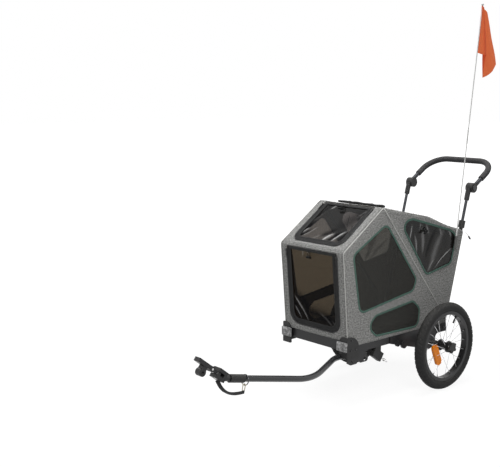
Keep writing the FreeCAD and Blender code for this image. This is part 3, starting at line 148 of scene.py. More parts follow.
def soft_light(name, place, aim, size, power, spread=180):
    """A rectangular area light at a place, turned to an aim point; spread is the angle of its cone in degrees."""
    data = bpy.data.lights.new(name, "AREA")
    data.shape = "RECTANGLE"
    data.size, data.size_y = size
    data.energy, data.spread = power, math.radians(spread)
    lamp = add(name, data)
    lamp.location = place
    turn_to(lamp, Vector(aim) - Vector(place))


soft_light("key", (1.3, 1.9, 2.1), (0.42, 0.1, 0.78), (1.2, 1.0), 6.9, 60)
soft_light("front", (3.2, -0.6, 1.6), (0, 0, 0.5), (1.0, 0.9), 5)
soft_light("right", (-0.2, -3.0, 1.5), (-0.2, 0, 0.5), (1.4, 1.2), 16)
soft_light("top", (-0.1, 0.1, 3.4), (-0.3, 0, 0.5), (1.7, 1.5), 67)

camera_data = bpy.data.cameras.new("camera")
camera_data.sensor_width, camera_data.lens = 36, 66.2256
camera = add("camera", camera_data)
camera.location = (3.30506 + axle.x, 2.73567, 1.34076)
swing, rise = math.radians(49.08), math.radians(8.86)
turn_to(camera, -Vector((math.cos(swing) * math.cos(rise), math.sin(swing) * math.cos(rise), math.sin(rise))))
scene.camera = camera
scene.view_settings.view_transform = "Standard"


# Metal and moulded parts: powder-coated steel tubes, bare alloy tubes, plated pins and grained plastic.
# They are the CAD solids with their edges broken; the coat is even, with a faint orange peel and a little dust.
def group(name, ins, outs):
    """A shader node group with its sockets; ins is (name, type, default), outs is (name, type)."""
    made = bpy.data.node_groups.new(name, "ShaderNodeTree")
    for label, kind, value in ins:
        socket = made.interface.new_socket(label, in_out="INPUT", socket_type="NodeSocket" + kind)
        if value is not None:
            socket.default_value = value
    for label, kind in outs:
        made.interface.new_socket(label, in_out="OUTPUT", socket_type="NodeSocket" + kind)
    return made, made.nodes.new("NodeGroupInput"), made.nodes.new("NodeGroupOutput")


def noise(tree, vector, scale, detail=2, rough=0.5):
    """A noise texture on a vector socket; gives its value."""
    node = put(tree, "TexNoise", {"Detail": detail, "Roughness": rough})
    tree.links.new(vector, node.inputs["Vector"])
    feed(tree, node.inputs["Scale"], scale)
    return node.outputs["Fac"]


def between(tree, factor, low, high):
    """A colour mix by a factor socket; low and high are colours or sockets."""
    node = put(tree, "Mix", data_type="RGBA")
    tree.links.new(factor, node.inputs["Factor"])
    for label, value in (("A", low), ("B", high)):
        feed(tree, next(s for s in node.inputs if s.name == label and s.type == "RGBA"), value)
    return next(s for s in node.outputs if s.type == "RGBA")


def relief(tree, height, tall, strength, out):
    """A bump of a height socket, tall in metres, put out as a group's normal."""
    node = put(tree, "Bump", {"Distance": tall})
    tree.links.new(height, node.inputs["Height"])
    feed(tree, node.inputs["Strength"], strength)
    tree.links.new(node.outputs[0], out.inputs["Normal"])


grain, g_in, g_out = group("grain", [("Colour", "Color", None), ("Size", "Float", 300.0), ("Depth", "Float", 0.2),
                                     ("Dust", "Float", 0.1)],
                           [("Colour", "Color"), ("Normal", "Vector"), ("Rough", "Float")])
place = put(grain, "TexCoord").outputs["Object"]
relief(grain, noise(grain, place, g_in.outputs["Size"], 3), 0.0006, g_in.outputs["Depth"], g_out)
facing = put(grain, "SeparateXYZ")
grain.links.new(put(grain, "NewGeometry").outputs["Normal"], facing.inputs[0])
cloud = noise(grain, place, 22, 4, 0.6)
dust = sums(grain, "MULTIPLY", sums(grain, "MAXIMUM", facing.outputs["Z"], 0.0), cloud)
dust = sums(grain, "MULTIPLY", dust, g_in.outputs["Dust"])
grain.links.new(between(grain, dust, g_in.outputs["Colour"], (0.42, 0.40, 0.37)), g_out.inputs["Colour"])
grain.links.new(sums(grain, "MULTIPLY", cloud, 0.22), g_out.inputs["Rough"])
grain_rough = 0.11


def patterned(name, pattern, pattern_values, skin_values):
    """A material whose skin takes its colour and normal from a pattern group; gives its nodes as well."""
    made, tree = new_look(name)
    effect = put(tree, "Group", pattern_values, node_tree=pattern)
    skin = settle(tree.nodes["Principled BSDF"], skin_values)
    tree.links.new(effect.outputs["Colour"], skin.inputs["Base Color"])
    tree.links.new(effect.outputs["Normal"], skin.inputs["Normal"])
    return made, tree, effect, skin


def hard(name, colour, rough, metal=0.0, size=300.0, depth=0.15, dust=0.1, coat=0.0, shine=0.3):
    """A material for a hard part: a plain colour with grain, dust on what faces up and an uneven sheen."""
    made, tree, effect, skin = patterned(
        name, grain, {"Colour": colour, "Size": size, "Depth": depth, "Dust": dust},
        {"Metallic": metal, "Specular IOR Level": shine, "Coat Weight": coat, "Coat Roughness": 0.15})
    tree.links.new(sums(tree, "ADD", effect.outputs["Rough"], rough - grain_rough), skin.inputs["Roughness"])
    return made


def dress(names, look, edge=0.0008):
    """Give CAD nodes a material and break their edges by a small bevel."""
    for name in names:
        piece = nodes[name]
        piece.data.materials.clear()
        piece.data.materials.append(look)
        if edge:
            bevel = piece.modifiers.new("edges", "BEVEL")
            bevel.width, bevel.segments = edge, 2
            bevel.limit_method, bevel.angle_limit = "ANGLE", math.radians(40)
            bevel.harden_normals = False
        piece.data.shade_smooth()
        piece.modifiers.new("even", "WEIGHTED_NORMAL").keep_sharp = True


black_steel = hard("black_steel", (0.013, 0.013, 0.014), 0.36, size=700, depth=0.05, dust=0.06, coat=0.06)
black_plastic = hard("black_plastic", (0.016, 0.016, 0.016), 0.5, size=1400, depth=0.3, dust=0.06)
plated = hard("plated", (0.62, 0.62, 0.61), 0.22, metal=1.0, size=200, depth=0.02, dust=0.05)
bright_wire = hard("bright_wire", (0.66, 0.66, 0.67), 0.26, metal=1.0, size=900, depth=0.03, dust=0.03)
dress(["side_rails", "crossbars", "axle_plates", "axle_tube", "side_hoops", "cross_tubes", "rear_posts",
       "drawbar_socket"], black_steel)
dress(["floor_board", "pin_block"], black_plastic)
dress(["stub_axles", "release_pin"], plated)


# Wheels: 16 inch pneumatic tyres on black box-section rims, laced with twenty steel spokes to a plastic hub.
# The tyre has a block tread with chevron grooves, and the spokes hold one orange reflector.
def unit(rows):
    """Vectors scaled to a length of 1."""
    return rows / np.linalg.norm(rows, axis=-1, keepdims=True)


def run_along(line):
    """How far along a line each of its points lies."""
    return np.concatenate([[0], np.cumsum(np.linalg.norm(np.diff(line, axis=0), axis=1))])


def ramp(value, width):
    """0 below zero, 1 above a width, and a straight slope between."""
    return np.clip(value / width, 0, 1)


def read_points(mesh):
    """The places of a mesh's points, one in each row."""
    spots = np.zeros(len(mesh.vertices) * 3)
    mesh.vertices.foreach_get("co", spots)
    return spots.reshape(-1, 3)


def lay_flat(mesh, flat):
    """A UV map in metres from each point's place on the flat sheet."""
    layer = mesh.uv_layers.new(name="metres")
    corner = np.zeros(len(mesh.loops), np.int32)
    mesh.loops.foreach_get("vertex_index", corner)
    layer.data.foreach_set("uv", np.asarray(flat, np.float32)[corner].ravel())


def add_mesh(name, points, faces, look, flat=None, body="chassis", back=None, back_from=0):
    """A mesh object in the part's frame that rides on a body, with flat as its UV in metres.

    Faces from number back_from on take the second material, back.
    """
    mesh = bpy.data.meshes.new(name)
    mesh.from_pydata(np.asarray(points).tolist(), [], faces if isinstance(faces, list) else faces.tolist())
    if flat is not None:
        lay_flat(mesh, flat)
    mesh.materials.append(look)
    if back:
        mesh.materials.append(back)
        mesh.polygons.foreach_set("material_index", (np.arange(len(faces)) >= back_from).astype(np.int32))
    mesh.shade_smooth()
    mesh.update()
    piece = add(name, mesh)
    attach(piece, body)
    return piece


def grid_faces(rows, columns, round_rows=False, round_columns=True):
    """Quads of a grid of points numbered row by row, which can close on itself along either way."""
    row, column = np.meshgrid(np.arange(rows if round_rows else rows - 1),
                              np.arange(columns if round_columns else columns - 1), indexing="ij")
    here, over, beside = row * columns, (row + 1) % rows * columns, (column + 1) % columns
    return np.stack([here + column, here + beside, over + beside, over + column], -1).reshape(-1, 4)


def rods(spots, radii, first, second, sides, closed=False):
    """Rods with a ring of points round each of their spots; a rod's spots share one row.

    A ring's point is its spot plus the radius times (cos t first + sin t second). Gives points, quads and t.
    """
    turn = np.arange(sides) / sides * 2 * math.pi
    ring = np.cos(turn)[:, None] * first[..., None, :] + np.sin(turn)[:, None] * second[..., None, :]
    points = spots[..., None, :] + radii[:, None, None] * ring
    starts = np.arange(len(spots))[:, None, None] * spots.shape[1] * sides
    return points.reshape(-1, 3), (grid_faces(spots.shape[1], sides, closed) + starts).reshape(-1, 4), turn


def ends_of(rows, columns):
    """The two end faces of a tube of rings, as point numbers."""
    first = np.arange(columns)
    return [first[::-1].tolist(), (first + (rows - 1) * columns).tolist()]


def tube(name, line, radius, look, body="chassis", closed=False, sides=10):
    """A round cord along points: circles square to the line, joined into a skin.

    The circles' first arm is carried along the line, and made square to it again at each point.
    """
    line = np.asarray(line, float)
    way = unit(np.roll(line, -1, 0) - np.roll(line, 1, 0) if closed else np.gradient(line, axis=0))
    arm, arms = np.cross(way[0], (0.31, 0.52, 0.79)), []
    for ahead in way:
        arm = unit(arm - ahead * (arm @ ahead))
        arms.append(arm)
    radii = np.broadcast_to(radius, len(line))
    points, quads, turn = rods(line[None], radii, np.array(arms)[None], np.cross(way, arms)[None], sides, closed)
    flat = np.stack([np.repeat(run_along(line), sides), (radii[:, None] * turn).ravel()], -1)
    faces = quads.tolist() + ([] if closed else ends_of(len(line), sides))
    return add_mesh(name, points, faces, look, flat, body)


rubber = hard("rubber", (0.019, 0.019, 0.019), 0.72, size=1500, depth=0.25, dust=0.10, shine=0.2)
black_rim = hard("black_rim", (0.012, 0.012, 0.013), 0.34, size=300, depth=0.04, dust=0.06, coat=0.05)
prisms, r_in, r_out = group("prisms", [("Light", "Color", None), ("Dark", "Color", None), ("Pitch", "Float", 500.0),
                                       ("Depth", "Float", 0.6)], [("Colour", "Color"), ("Normal", "Vector")])
prism_place = put(prisms, "TexCoord").outputs["Object"]
prism = put(prisms, "TexVoronoi", {"Randomness": 0.0}, feature="F1", distance="CHEBYCHEV")
prisms.links.new(prism_place, prism.inputs["Vector"])
prisms.links.new(r_in.outputs["Pitch"], prism.inputs["Scale"])
relief(prisms, prism.outputs["Distance"], 0.0012, r_in.outputs["Depth"], r_out)
# Painted highlight and shade of the prisms: each is coloured lighter towards its middle and darker towards its edges,
# and a noise makes some facets lighter and others darker.
painted_facet_shading = sums(prisms, "SUBTRACT", noise(prisms, prism_place, 90, 2, 0.7), 0.5)
painted_facet_shading = sums(prisms, "ADD", sums(prisms, "MULTIPLY", painted_facet_shading, 2.4),
             sums(prisms, "SUBTRACT", 1.15, sums(prisms, "MULTIPLY", prism.outputs["Distance"], 2.2)))
prisms.links.new(between(prisms, painted_facet_shading, r_in.outputs["Dark"], r_in.outputs["Light"]), r_out.inputs["Colour"])


def lens(name, light, dark, painted_glow, pitch):
    """A moulded reflector: clear coloured plastic over small prisms that send light back. Its colour is the prisms'
    painted highlight and shade, and its emission is a painted glow in that colour.
    """
    made, tree, effect, skin = patterned(
        name, prisms, {"Light": light, "Dark": dark, "Pitch": pitch},
        {"Roughness": 0.18, "Specular IOR Level": 0.12, "Coat Weight": 0.06, "Coat Roughness": 0.05,
         "Emission Strength": painted_glow})
    tree.links.new(effect.outputs["Colour"], skin.inputs["Emission Color"])
    return made


orange_lens = lens("orange_lens", (0.86, 0.255, 0.005), (0.66, 0.170, 0.003), 0.10, 330.0)
dark_nickel = hard("dark_nickel", (0.16, 0.16, 0.16), 0.35, metal=1.0, dust=0.05)
both_sides = ((1, "left"), (-1, "right"))
wheel_radius = float(tyre_high.z) / 2
tyre_half = 0.022
seat_radius = wheel_radius - 2 * tyre_half + 0.005
rim_inner = seat_radius - 0.015
tread_steps, tread_blocks = 720, 54
around = np.linspace(0, 2 * math.pi, tread_steps, endpoint=False)
reach = math.acos((seat_radius - (wheel_radius - tyre_half)) / tyre_half)
turn_at, bend_at = np.meshgrid(around, np.linspace(-reach, reach, 57), indexing="ij")
crown = np.abs(bend_at) / math.radians(62)
chevron = (turn_at * tread_blocks / (2 * math.pi) + 0.55 * crown + 0.25 * np.sign(bend_at)) % 1
cross_cut = ramp(0.15 - np.abs(chevron - 0.5), 0.05) * ramp(crown - 0.16, 0.06)
ring_cut = np.maximum(ramp(0.05 - np.abs(crown - 0.20), 0.025), ramp(0.05 - np.abs(crown - 0.62), 0.025))
shoulder = ramp(1.08 - crown, 0.06)
side_rib = ramp(0.02 - np.abs(np.abs(bend_at) - math.radians(98)), 0.01)
groove, shoulder_step, rib = 0.0016, 0.0007, 0.0005
worn = groove * np.maximum(cross_cut, ring_cut) * shoulder + shoulder_step * (1 - shoulder)
far = tyre_half - (worn - rib * side_rib)
bead = np.full((tread_steps, 2), seat_radius + 0.0004)
ring_r = np.hstack([wheel_radius - tyre_half + far * np.cos(bend_at), bead])
ring_y = np.hstack([far * np.sin(bend_at), np.tile((0.012, -0.012), (tread_steps, 1))])
tread_quads = np.roll(grid_faces(tread_steps, ring_r.shape[1], True), -1, axis=1)
spoke_count, nipple_seat, hub_seat = 20, rim_inner - 0.0005, 0.0266
nipple_rise = np.array((0, 0.002, 0.0024, 0.010, 0.0105))
nipple_radii = np.array((0.0026, 0.0026, 0.0018, 0.0017, 0.0012))
valve_way = np.array((-0.532, 0, 0.847))
valve_reach = np.array((rim_inner - 0.0005, 0.141, 0.1405, 0.129, 0.1285, 0.113, 0.112))
valve_radii = np.array((0.0045, 0.0045, 0.0032, 0.0032, 0.0041, 0.0041, 0.0028))
for side, word in both_sides:
    body = word + "_wheel"
    centre = np.array((axle.x, side * axle.y, axle.z))
    points = np.stack([ring_r * np.cos(around)[:, None], ring_y * side, ring_r * np.sin(around)[:, None]], axis=-1)
    tyre = add_mesh(word + "_tread", points.reshape(-1, 3) + centre, tread_quads[:, ::side], rubber, None, body)
    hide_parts(word + "_tyre")
    dress([word + "_rim"], black_rim, 0.0012)
    dress([word + "_hub", word + "_release_knob"], black_plastic, 0.0010)
    dress([word + "_spokes"], bright_wire, 0)
    dress([word + "_bearings"], plated, 0.0004)
    clip = nodes[word + "_spoke_reflector"].data
    spots = read_points(clip)
    spots[:, 1] += side * 0.0042 * (np.abs(spots[:, 1]) > np.abs(spots[:, 1]).mean())
    reflector = add_mesh(word + "_reflector", spots, [tuple(p.vertices) for p in clip.polygons], orange_lens, None,
                         body)
    bevel = reflector.modifiers.new("edge", "BEVEL")
    bevel.width, bevel.segments, bevel.limit_method = 0.0016, 3, "ANGLE"
    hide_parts(word + "_spoke_reflector")
    spoke = np.arange(spoke_count)
    flank = np.where(spoke % 2 == 0, side, -side)
    rim_angle = np.radians(-19.5 + 360 / spoke_count * spoke)
    hub_angle = rim_angle - flank * side * math.radians(25)
    head = np.column_stack([np.cos(rim_angle) * nipple_seat, flank * 0.003, np.sin(rim_angle) * nipple_seat])
    foot = np.column_stack([np.cos(hub_angle) * hub_seat, flank * 0.022, np.sin(hub_angle) * hub_seat])
    way = unit(foot - head)[:, None]
    first = unit(np.cross(way, (0, 1, 0)))
    points, quads, _ = rods((centre + head)[:, None] + way * nipple_rise[:, None], nipple_radii, first,
                            np.cross(way, first), 8)
    tips = np.arange(len(points)).reshape(spoke_count, -1)[:, -8:]
    add_mesh(word + "_nipples", points, quads.tolist() + tips.tolist(), dark_nickel, None, body)
    tube(word + "_valve", centre + valve_way * valve_reach[:, None], valve_radii, black_plastic, body,
         sides=14)


# Cabin cover: heather-grey woven polyester, sewn in panels and stretched over the tubes, so every edge is
# rounded by the tube under it. One strip runs up the front, over the roof and down the back between two sides.
def trace(corners, closed=False, step=0.004):
    """Points along straight runs that are joined by tangent arcs; each corner is (a, b, radius)."""
    runs = []
    for count, (a, b, radius) in enumerate(corners):
        here = np.array((a, b))
        if radius == 0 or (not closed and count in (0, len(corners) - 1)):
            runs.append(here[None])
            continue
        towards, onward = (unit(np.array(corners[(count + by) % len(corners)][:2]) - here) for by in (-1, 1))
        half = math.acos(np.clip(towards @ onward, -1, 1)) / 2
        centre = here + unit(towards + onward) * radius / math.sin(half)
        first, last = (here + way * radius / math.tan(half) - centre for way in (towards, onward))
        sweep = math.pi - 2 * half
        share = np.linspace(0, 1, max(2, math.ceil(radius * sweep / step)) + 1)[:, None]
        runs.append(centre + (np.sin((1 - share) * sweep) * first + np.sin(share * sweep) * last) / math.sin(sweep))
    return np.vstack(runs)


def looped(line):
    """A closed outline with its first point again at its end."""
    return np.vstack([line, line[:1]])


def even(points, pitch, closed=False):
    """The same line with its runs cut into steps no longer than a pitch."""
    ends = looped(points) if closed else points
    run = np.diff(ends, axis=0)
    steps = np.maximum(1, np.ceil(np.linalg.norm(run, axis=1) / pitch)).astype(int)
    count = np.arange(steps.sum()) - np.repeat(np.cumsum(steps) - steps, steps)
    line = np.repeat(ends[:-1], steps, 0) + np.repeat(run, steps, 0) * count[:, None] / np.repeat(steps, steps)[:, None]
    return line if closed else np.vstack([line, ends[-1:]])


def distance(points, line):
    """Each point's distance to the nearest place on a polyline."""
    best = np.full(len(points), 1e9)
    for start, run in zip(line[:-1], np.diff(line, axis=0)):
        share = np.clip(((points - start) @ run) / max(run @ run, 1e-16), 0, 1)
        best = np.minimum(best, np.linalg.norm(points - start - share[:, None] * run, axis=1))
    return best


def inside(points, loop):
    """Whether each point lies inside a closed outline, by counting the sides to its right."""
    result = np.zeros(len(points), bool)
    for (ax, ay), (bx, by) in zip(loop, np.roll(loop, -1, axis=0)):
        if ay == by:
            continue
        crosses = (ay > points[:, 1]) != (by > points[:, 1])
        result ^= crosses & (points[:, 0] < (bx - ax) * (points[:, 1] - ay) / (by - ay) + ax)
    return result


def offset(loop, by):
    """A closed outline moved sideways by a distance, to the left of its direction for a positive one."""
    run = unit(np.roll(loop, -1, axis=0) - np.roll(loop, 1, axis=0))
    return loop + by * np.column_stack([-run[:, 1], run[:, 0]])


def net(rim, holes, pitch):
    """An outline with holes, filled with triangles on an even net; gives points and faces."""
    loops = [even(rim, pitch, True)] + [even(hole, pitch * 0.6, True) for hole in holes]

    def on_sheet(points):
        """Whether points lie inside the rim and outside the holes."""
        return inside(points, loops[0]) & ~np.any([inside(points, hole) for hole in loops[1:]] or [False], axis=0)

    starts = np.cumsum([0] + [len(loop) for loop in loops])
    edges = np.vstack([np.column_stack([k, np.roll(k, -1)]) for k in map(np.arange, starts, starts[1:])])
    low, high = loops[0].min(0), loops[0].max(0)
    u, v = np.meshgrid(np.arange(low[0] + pitch / 2, high[0], pitch),
                       np.arange(low[1] + pitch / 2, high[1], pitch * 0.87))
    u[1::2] += pitch / 2
    grid = np.column_stack([u.ravel(), v.ravel()])
    keep = on_sheet(grid)
    for loop in loops:
        keep &= distance(grid, looped(loop)) > pitch * 0.45
    points = np.vstack(loops + [grid[keep]])
    made = geometry.delaunay_2d_cdt([Vector(p) for p in points], edges.tolist(), [], 0, 1e-6)
    flat = np.array([tuple(p) for p in made[0]])
    faces = np.array([f for f in made[2] if len(f) == 3])
    return flat, faces[on_sheet(flat[faces].mean(1))]


def thick(front, normal, faces, depth):
    """Two skins a depth apart, joined along the edges that only one face uses; gives points and faces."""
    count = len(front)
    edges = np.vstack([faces[:, [0, 1]], faces[:, [1, 2]], faces[:, [2, 0]]])
    _, at, uses = np.unique(np.sort(edges, axis=1), axis=0, return_index=True, return_counts=True)
    a, b = edges[at[uses == 1]].T
    rim = np.column_stack([b, a, a + count, b + count])
    return (np.vstack([front, front - normal * depth]),
            faces.tolist() + (faces[:, ::-1] + count).tolist() + rim.tolist())


def ripple(flat, size, seed, scale=1.0):
    """A shallow unevenness of hung cloth: plane waves of several lengths in fixed random directions."""
    chance = np.random.default_rng(seed)
    total = np.zeros(len(flat))
    for length, share in ((0.34 * scale, 1.0), (0.19 * scale, 0.7), (0.11 * scale, 0.4), (0.06 * scale, 0.22)):
        for _ in range(3):
            angle, phase = chance.uniform(0, 2 * math.pi, 2)
            total += share * np.sin(2 * math.pi / length * (flat @ (math.cos(angle), math.sin(angle))) + phase)
    return size * total / 3


heather, h_in, h_out = group("heather", [("Light", "Color", None), ("Dark", "Color", None), ("Mottle", "Float", 1.0)],
                             [("Colour", "Color"), ("Normal", "Vector")])
flat_place = put(heather, "TexCoord").outputs["UV"]


def yarn(across, along, rough):
    """Noise on the cloth's flat coordinates, with its own scale across and along the cloth."""
    mapping = put(heather, "Mapping", {"Scale": (across, along, 1)})
    heather.links.new(flat_place, mapping.inputs["Vector"])
    return noise(heather, mapping.outputs[0], 1.0, 2, rough)


warp, weft, slub = yarn(700, 170, 0.6), yarn(170, 700, 0.6), yarn(120, 170, 0.7)
speck = sums(heather, "ADD", sums(heather, "MULTIPLY", sums(heather, "ADD", warp, weft), 0.5),
             sums(heather, "MULTIPLY", sums(heather, "SUBTRACT", slub, 0.5), 1.3))
speck = sums(heather, "MULTIPLY", sums(heather, "SUBTRACT", speck, 0.5), h_in.outputs["Mottle"])
speck = sums(heather, "ADD", speck, 0.5)
heather.links.new(between(heather, speck, h_in.outputs["Dark"], h_in.outputs["Light"]), h_out.inputs["Colour"])
threads = [put(heather, "TexWave", {"Scale": 260, "Distortion": 1.2, "Detail": 1}, bands_direction=way) for way in "XY"]
for wave in threads:
    heather.links.new(flat_place, wave.inputs["Vector"])
weave = sums(heather, "MULTIPLY", threads[0].outputs["Fac"], threads[1].outputs["Fac"])
relief(heather, sums(heather, "ADD", weave, sums(heather, "MULTIPLY", speck, 0.6)), 0.0007, 0.35, h_out)


def woven(name, light, dark, mottle=1.0, rough=0.9, sheen=0.25):
    """A woven cloth's material: two yarn tones mixed by the heather group, matt with a slight sheen."""
    return patterned(name, heather, {"Light": light, "Dark": dark, "Mottle": mottle},
                     {"Roughness": rough, "Sheen Weight": sheen, "Sheen Roughness": 0.5,
                      "Specular IOR Level": 0.25})[0]


grey_cloth = woven("grey_cloth", (0.330, 0.328, 0.315), (0.066, 0.068, 0.067), 1.9)
black_cloth = woven("black_cloth", (0.024, 0.024, 0.024), (0.012, 0.012, 0.012), 1.0, sheen=0.03)
lining = woven("lining", (0.150, 0.122, 0.094), (0.105, 0.086, 0.066), 0.5, sheen=0.0)
green_tape = woven("green_tape", (0.082, 0.152, 0.121), (0.044, 0.092, 0.073), 1.0, sheen=0.04)

half_width = 0.190
cloth_depth = 0.002
edge_round = 0.009
edge_inset = edge_round * (1 - math.sqrt(0.5))
cabin = {"front_foot": (0.558, 0.281), "front_top": (0.593, 0.682), "ridge": (0.350, 0.850),
         "roof_bend": (0.037, 0.783), "rear_top": (-0.222, 0.697), "rear_foot": (-0.110, 0.281)}
cabin = {name: np.array((x + axle.x, z)) for name, (x, z) in cabin.items()}
side_middle = np.array((axle.x + 0.22, 0.56))


def along(first, last, height):
    """The point at a height on the line through two cabin corners."""
    (ax, az), (bx, bz) = cabin[first], cabin[last]
    return np.array((ax + (bx - ax) * (height - az) / (bz - az), height))


front_low = along("front_foot", "front_top", 0.2985)
rear_low = along("rear_foot", "rear_top", 0.2760)
cover_line = [(*front_low, 0), (*cabin["front_top"], 0.016), (*cabin["ridge"], 0.020), (*cabin["roof_bend"], 0.07),
              (axle.x - 0.094, 0.7315, 0.80), (*cabin["rear_top"], 0.014), (*rear_low, 0)]
side_line = trace(cover_line, step=0.002)
strip = even(side_line, 0.01)
strip_at = run_along(strip)
strip_way = unit(np.gradient(strip, axis=0))


def strip_place(point):
    """How far along the strip the place nearest to a cabin point is."""
    return strip_at[np.argmin(np.linalg.norm(strip - point, axis=1))]


def rounded(far):
    """The sine and cosine of the cloth's tilt at a distance from a cabin edge, where it bends over the tube."""
    tilt = np.clip(edge_round - far, 0, edge_round * 0.7072) / edge_round
    return tilt, np.sqrt(1 - tilt ** 2)


def on_strip(flat, lift=0.0):
    """Points of the strip from (Y, distance along), with the outward normal, rounded off at both side edges."""
    y, s = flat[:, 0], flat[:, 1]
    x, z, way_x, way_z = (np.interp(s, strip_at, values) for values in (*strip.T, *strip_way.T))
    tilt, straight = rounded(half_width - np.abs(y))
    drop = edge_round * (1 - straight) - lift
    out = np.column_stack([way_z, np.zeros(len(y)), -way_x])
    return (np.column_stack([x, y, z]) - out * np.reshape(drop, (-1, 1)),
            np.column_stack([way_z * straight, np.sign(y) * tilt, -way_x * straight]))


def on_side(flat, side, lift=0.0):
    """Points of a side panel from (X, Z), with the outward normal, rounded off towards the strip."""
    tilt, straight = rounded(distance(flat, side_line))
    drop = edge_round * (1 - straight) - lift
    out = unit(flat - side_middle)
    return (np.column_stack([flat[:, 0], side * (half_width - drop), flat[:, 1]]),
            np.column_stack([out[:, 0] * tilt, side * straight, out[:, 1] * tilt]))


# Strip panels: front, roof, rear roof and back, each seamed to the next where the strip folds.
# The front and the roof are cut out for the door and the hatch; the black flaps lie in the openings.
s_front, s_ridge, s_rear = (strip_place(cabin[name]) for name in ("front_top", "ridge", "rear_top"))
s_end = strip_at[-1]
strip_half = half_width - edge_inset
door_half, door_round = 0.150, 0.055
door_low, door_high = 0.028, np.linalg.norm(cabin["front_top"] - front_low) - 0.0089
hatch_half, hatch_round = 0.147, 0.045
hatch_low = s_front + 0.0279
hatch_high = s_front + np.linalg.norm(cabin["ridge"] - cabin["front_top"]) - 0.012


def flap_line(half, low, high, radius, inset=0.0):
    """A flap's outline in (Y, distance along), with its two lower corners rounded."""
    round_low = max(radius - inset, 0.004)
    return trace([(-half + inset, low + inset, round_low), (half - inset, low + inset, round_low),
                  (half - inset, high - inset, 0.006), (-half + inset, high - inset, 0.006)], True)


thread = hard("thread", (0.045, 0.046, 0.045), 0.7, size=2500, depth=0.4, dust=0.0)
stitch_radii = np.array((0.35, 1, 1, 0.35)) * 0.00045


def stitches(name, line, place_on, body="chassis", closed=True, pitch=0.0042, long=0.0029, lift=0.0003):
    """A row of stitches: six-sided rods half sunk in the cloth, each tapered at both ends, one pitch apart."""
    ends = looped(line) if closed else line
    far = run_along(ends)
    step = (np.arange(0, far[-1] - long, pitch)[:, None] + long * np.array((0, 0.2, 0.8, 1.0))).ravel()
    flat = np.column_stack([np.interp(step, far, ends[:, 0]), np.interp(step, far, ends[:, 1])])
    spots, normals = (a.reshape(-1, 4, 3) for a in place_on(flat, np.full(len(flat), lift)))
    way, up = unit(spots[:, 3:] - spots[:, :1]), normals[:, 1:2]
    points, quads, _ = rods(spots, stitch_radii, np.cross(up, way), up, 6)
    return add_mesh(name, points, quads, thread, None, body)


def strip_panel(name, node, low, high, holes, seed, swell=0.0012):
    """A panel of the strip between two distances along it: uneven cloth with a lining, flat along its side seams."""
    rim = np.array([(-strip_half, low), (strip_half, low), (strip_half, high), (-strip_half, high)])
    flat, faces = net(rim, holes, 0.011)
    calm = ramp(strip_half - np.abs(flat[:, 0]), 0.03)
    spots, normals = on_strip(flat, ripple(flat, swell, seed) * calm - swell * 0.5 * calm)
    points, skins = thick(spots, normals, faces, cloth_depth)
    piece = add_mesh(name, points, skins, grey_cloth, np.vstack([flat, flat]), "chassis", lining,
                     len(faces))
    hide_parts(node)


door_hole = flap_line(door_half, door_low, door_high, door_round)
hatch_hole = flap_line(hatch_half, hatch_low, hatch_high, hatch_round)
strip_panel("cover_front", "front_panel", 0.0, s_front, [door_hole], 3)
strip_panel("cover_roof", "roof_panel", s_front, s_ridge, [hatch_hole], 5)
strip_panel("cover_top", "top_panel", s_ridge, s_rear, [], 7, 0.002)
strip_panel("cover_back", "rear_panel", s_rear, s_end, [], 9, 0.002)

seam_y = np.array((-strip_half + 0.012, strip_half - 0.012))
for count, s in enumerate((s_front - 0.005, s_front + 0.010, s_ridge - 0.008, s_ridge + 0.008, s_rear + 0.010)):
    stitches("strip_stitches_%d" % count, np.column_stack([seam_y, (s, s)]), on_strip, closed=False)
for side, word in both_sides:
    y = side * (strip_half - 0.006)
    stitches(word + "_strip_stitches", np.column_stack([(y, y), (0.004, s_end - 0.004)]), on_strip,
             closed=False)

# Side panels: grey cloth with three windows on each side. Sage-green tape binds each window's edge,
# and a pale reflective piping is sewn into the front and roof seams and down the slanting seam.
window_corners = {
    "front": [(0.957, 0.673), (0.654, 0.865), (0.346, 0.401), (0.376, 0.320), (0.889, 0.234)],
    "low": [(0.808, 0.113), (0.738, 0.181), (0.371, 0.229), (0.305, 0.160), (0.316, 0.026), (0.734, 0.032)],
    "rear": [(0.509, 0.863), (0.395, 0.877), (-0.003, 0.747), (-0.073, 0.701), (-0.024, 0.482), (0.235, 0.427)],
}
windows = {name: trace([(axle.x - 0.110 + 0.668 * a, 0.281 + 0.569 * b, 0.030) for a, b in corners], True)
           for name, corners in window_corners.items()}
panel_foot = 0.2755
side_feet = [(cabin[name][0], panel_foot) for name in ("rear_foot", "front_foot")]
side_rim = np.vstack([even(side_line, 0.012), side_feet])
side_rim = side_rim + edge_inset * unit(side_rim.mean(0) - side_rim) * (side_rim[:, 1:] > panel_foot + 0.0015)


def tape(name, loop, place_on, half, rise, look, body="chassis", shift=0.0):
    """A flat tape sewn along a closed line: a low arched section, half its width to each side.

    Across the tape the height is the rise times the root of 1 - share^4.
    """
    pitch = 0.006
    loop = even(loop, pitch, True)
    across = np.linspace(-1, 1, 7)
    flat = np.vstack([offset(loop, shift + half * share) for share in across])
    lift = rise * np.sqrt(1 - across ** 4) - 0.0002
    spots, _ = place_on(flat, np.repeat(lift, len(loop)))
    uv = np.column_stack([np.tile(np.arange(len(loop)) * pitch, len(across)), np.repeat(across * half, len(loop))])
    return add_mesh(name, spots, grid_faces(len(across), len(loop)), look, uv, body)


def outwards(loop):
    """The sign of an offset that moves a closed outline outwards, from the sign of its area."""
    return -1 if np.sum(loop[:, 0] * np.roll(loop[:, 1], -1) - loop[:, 1] * np.roll(loop[:, 0], -1)) > 0 else 1


def laid_on(side, raised=0.0):
    """A function that lays flat points on one side panel."""
    return lambda flat, lift: on_side(flat, side, lift + raised)


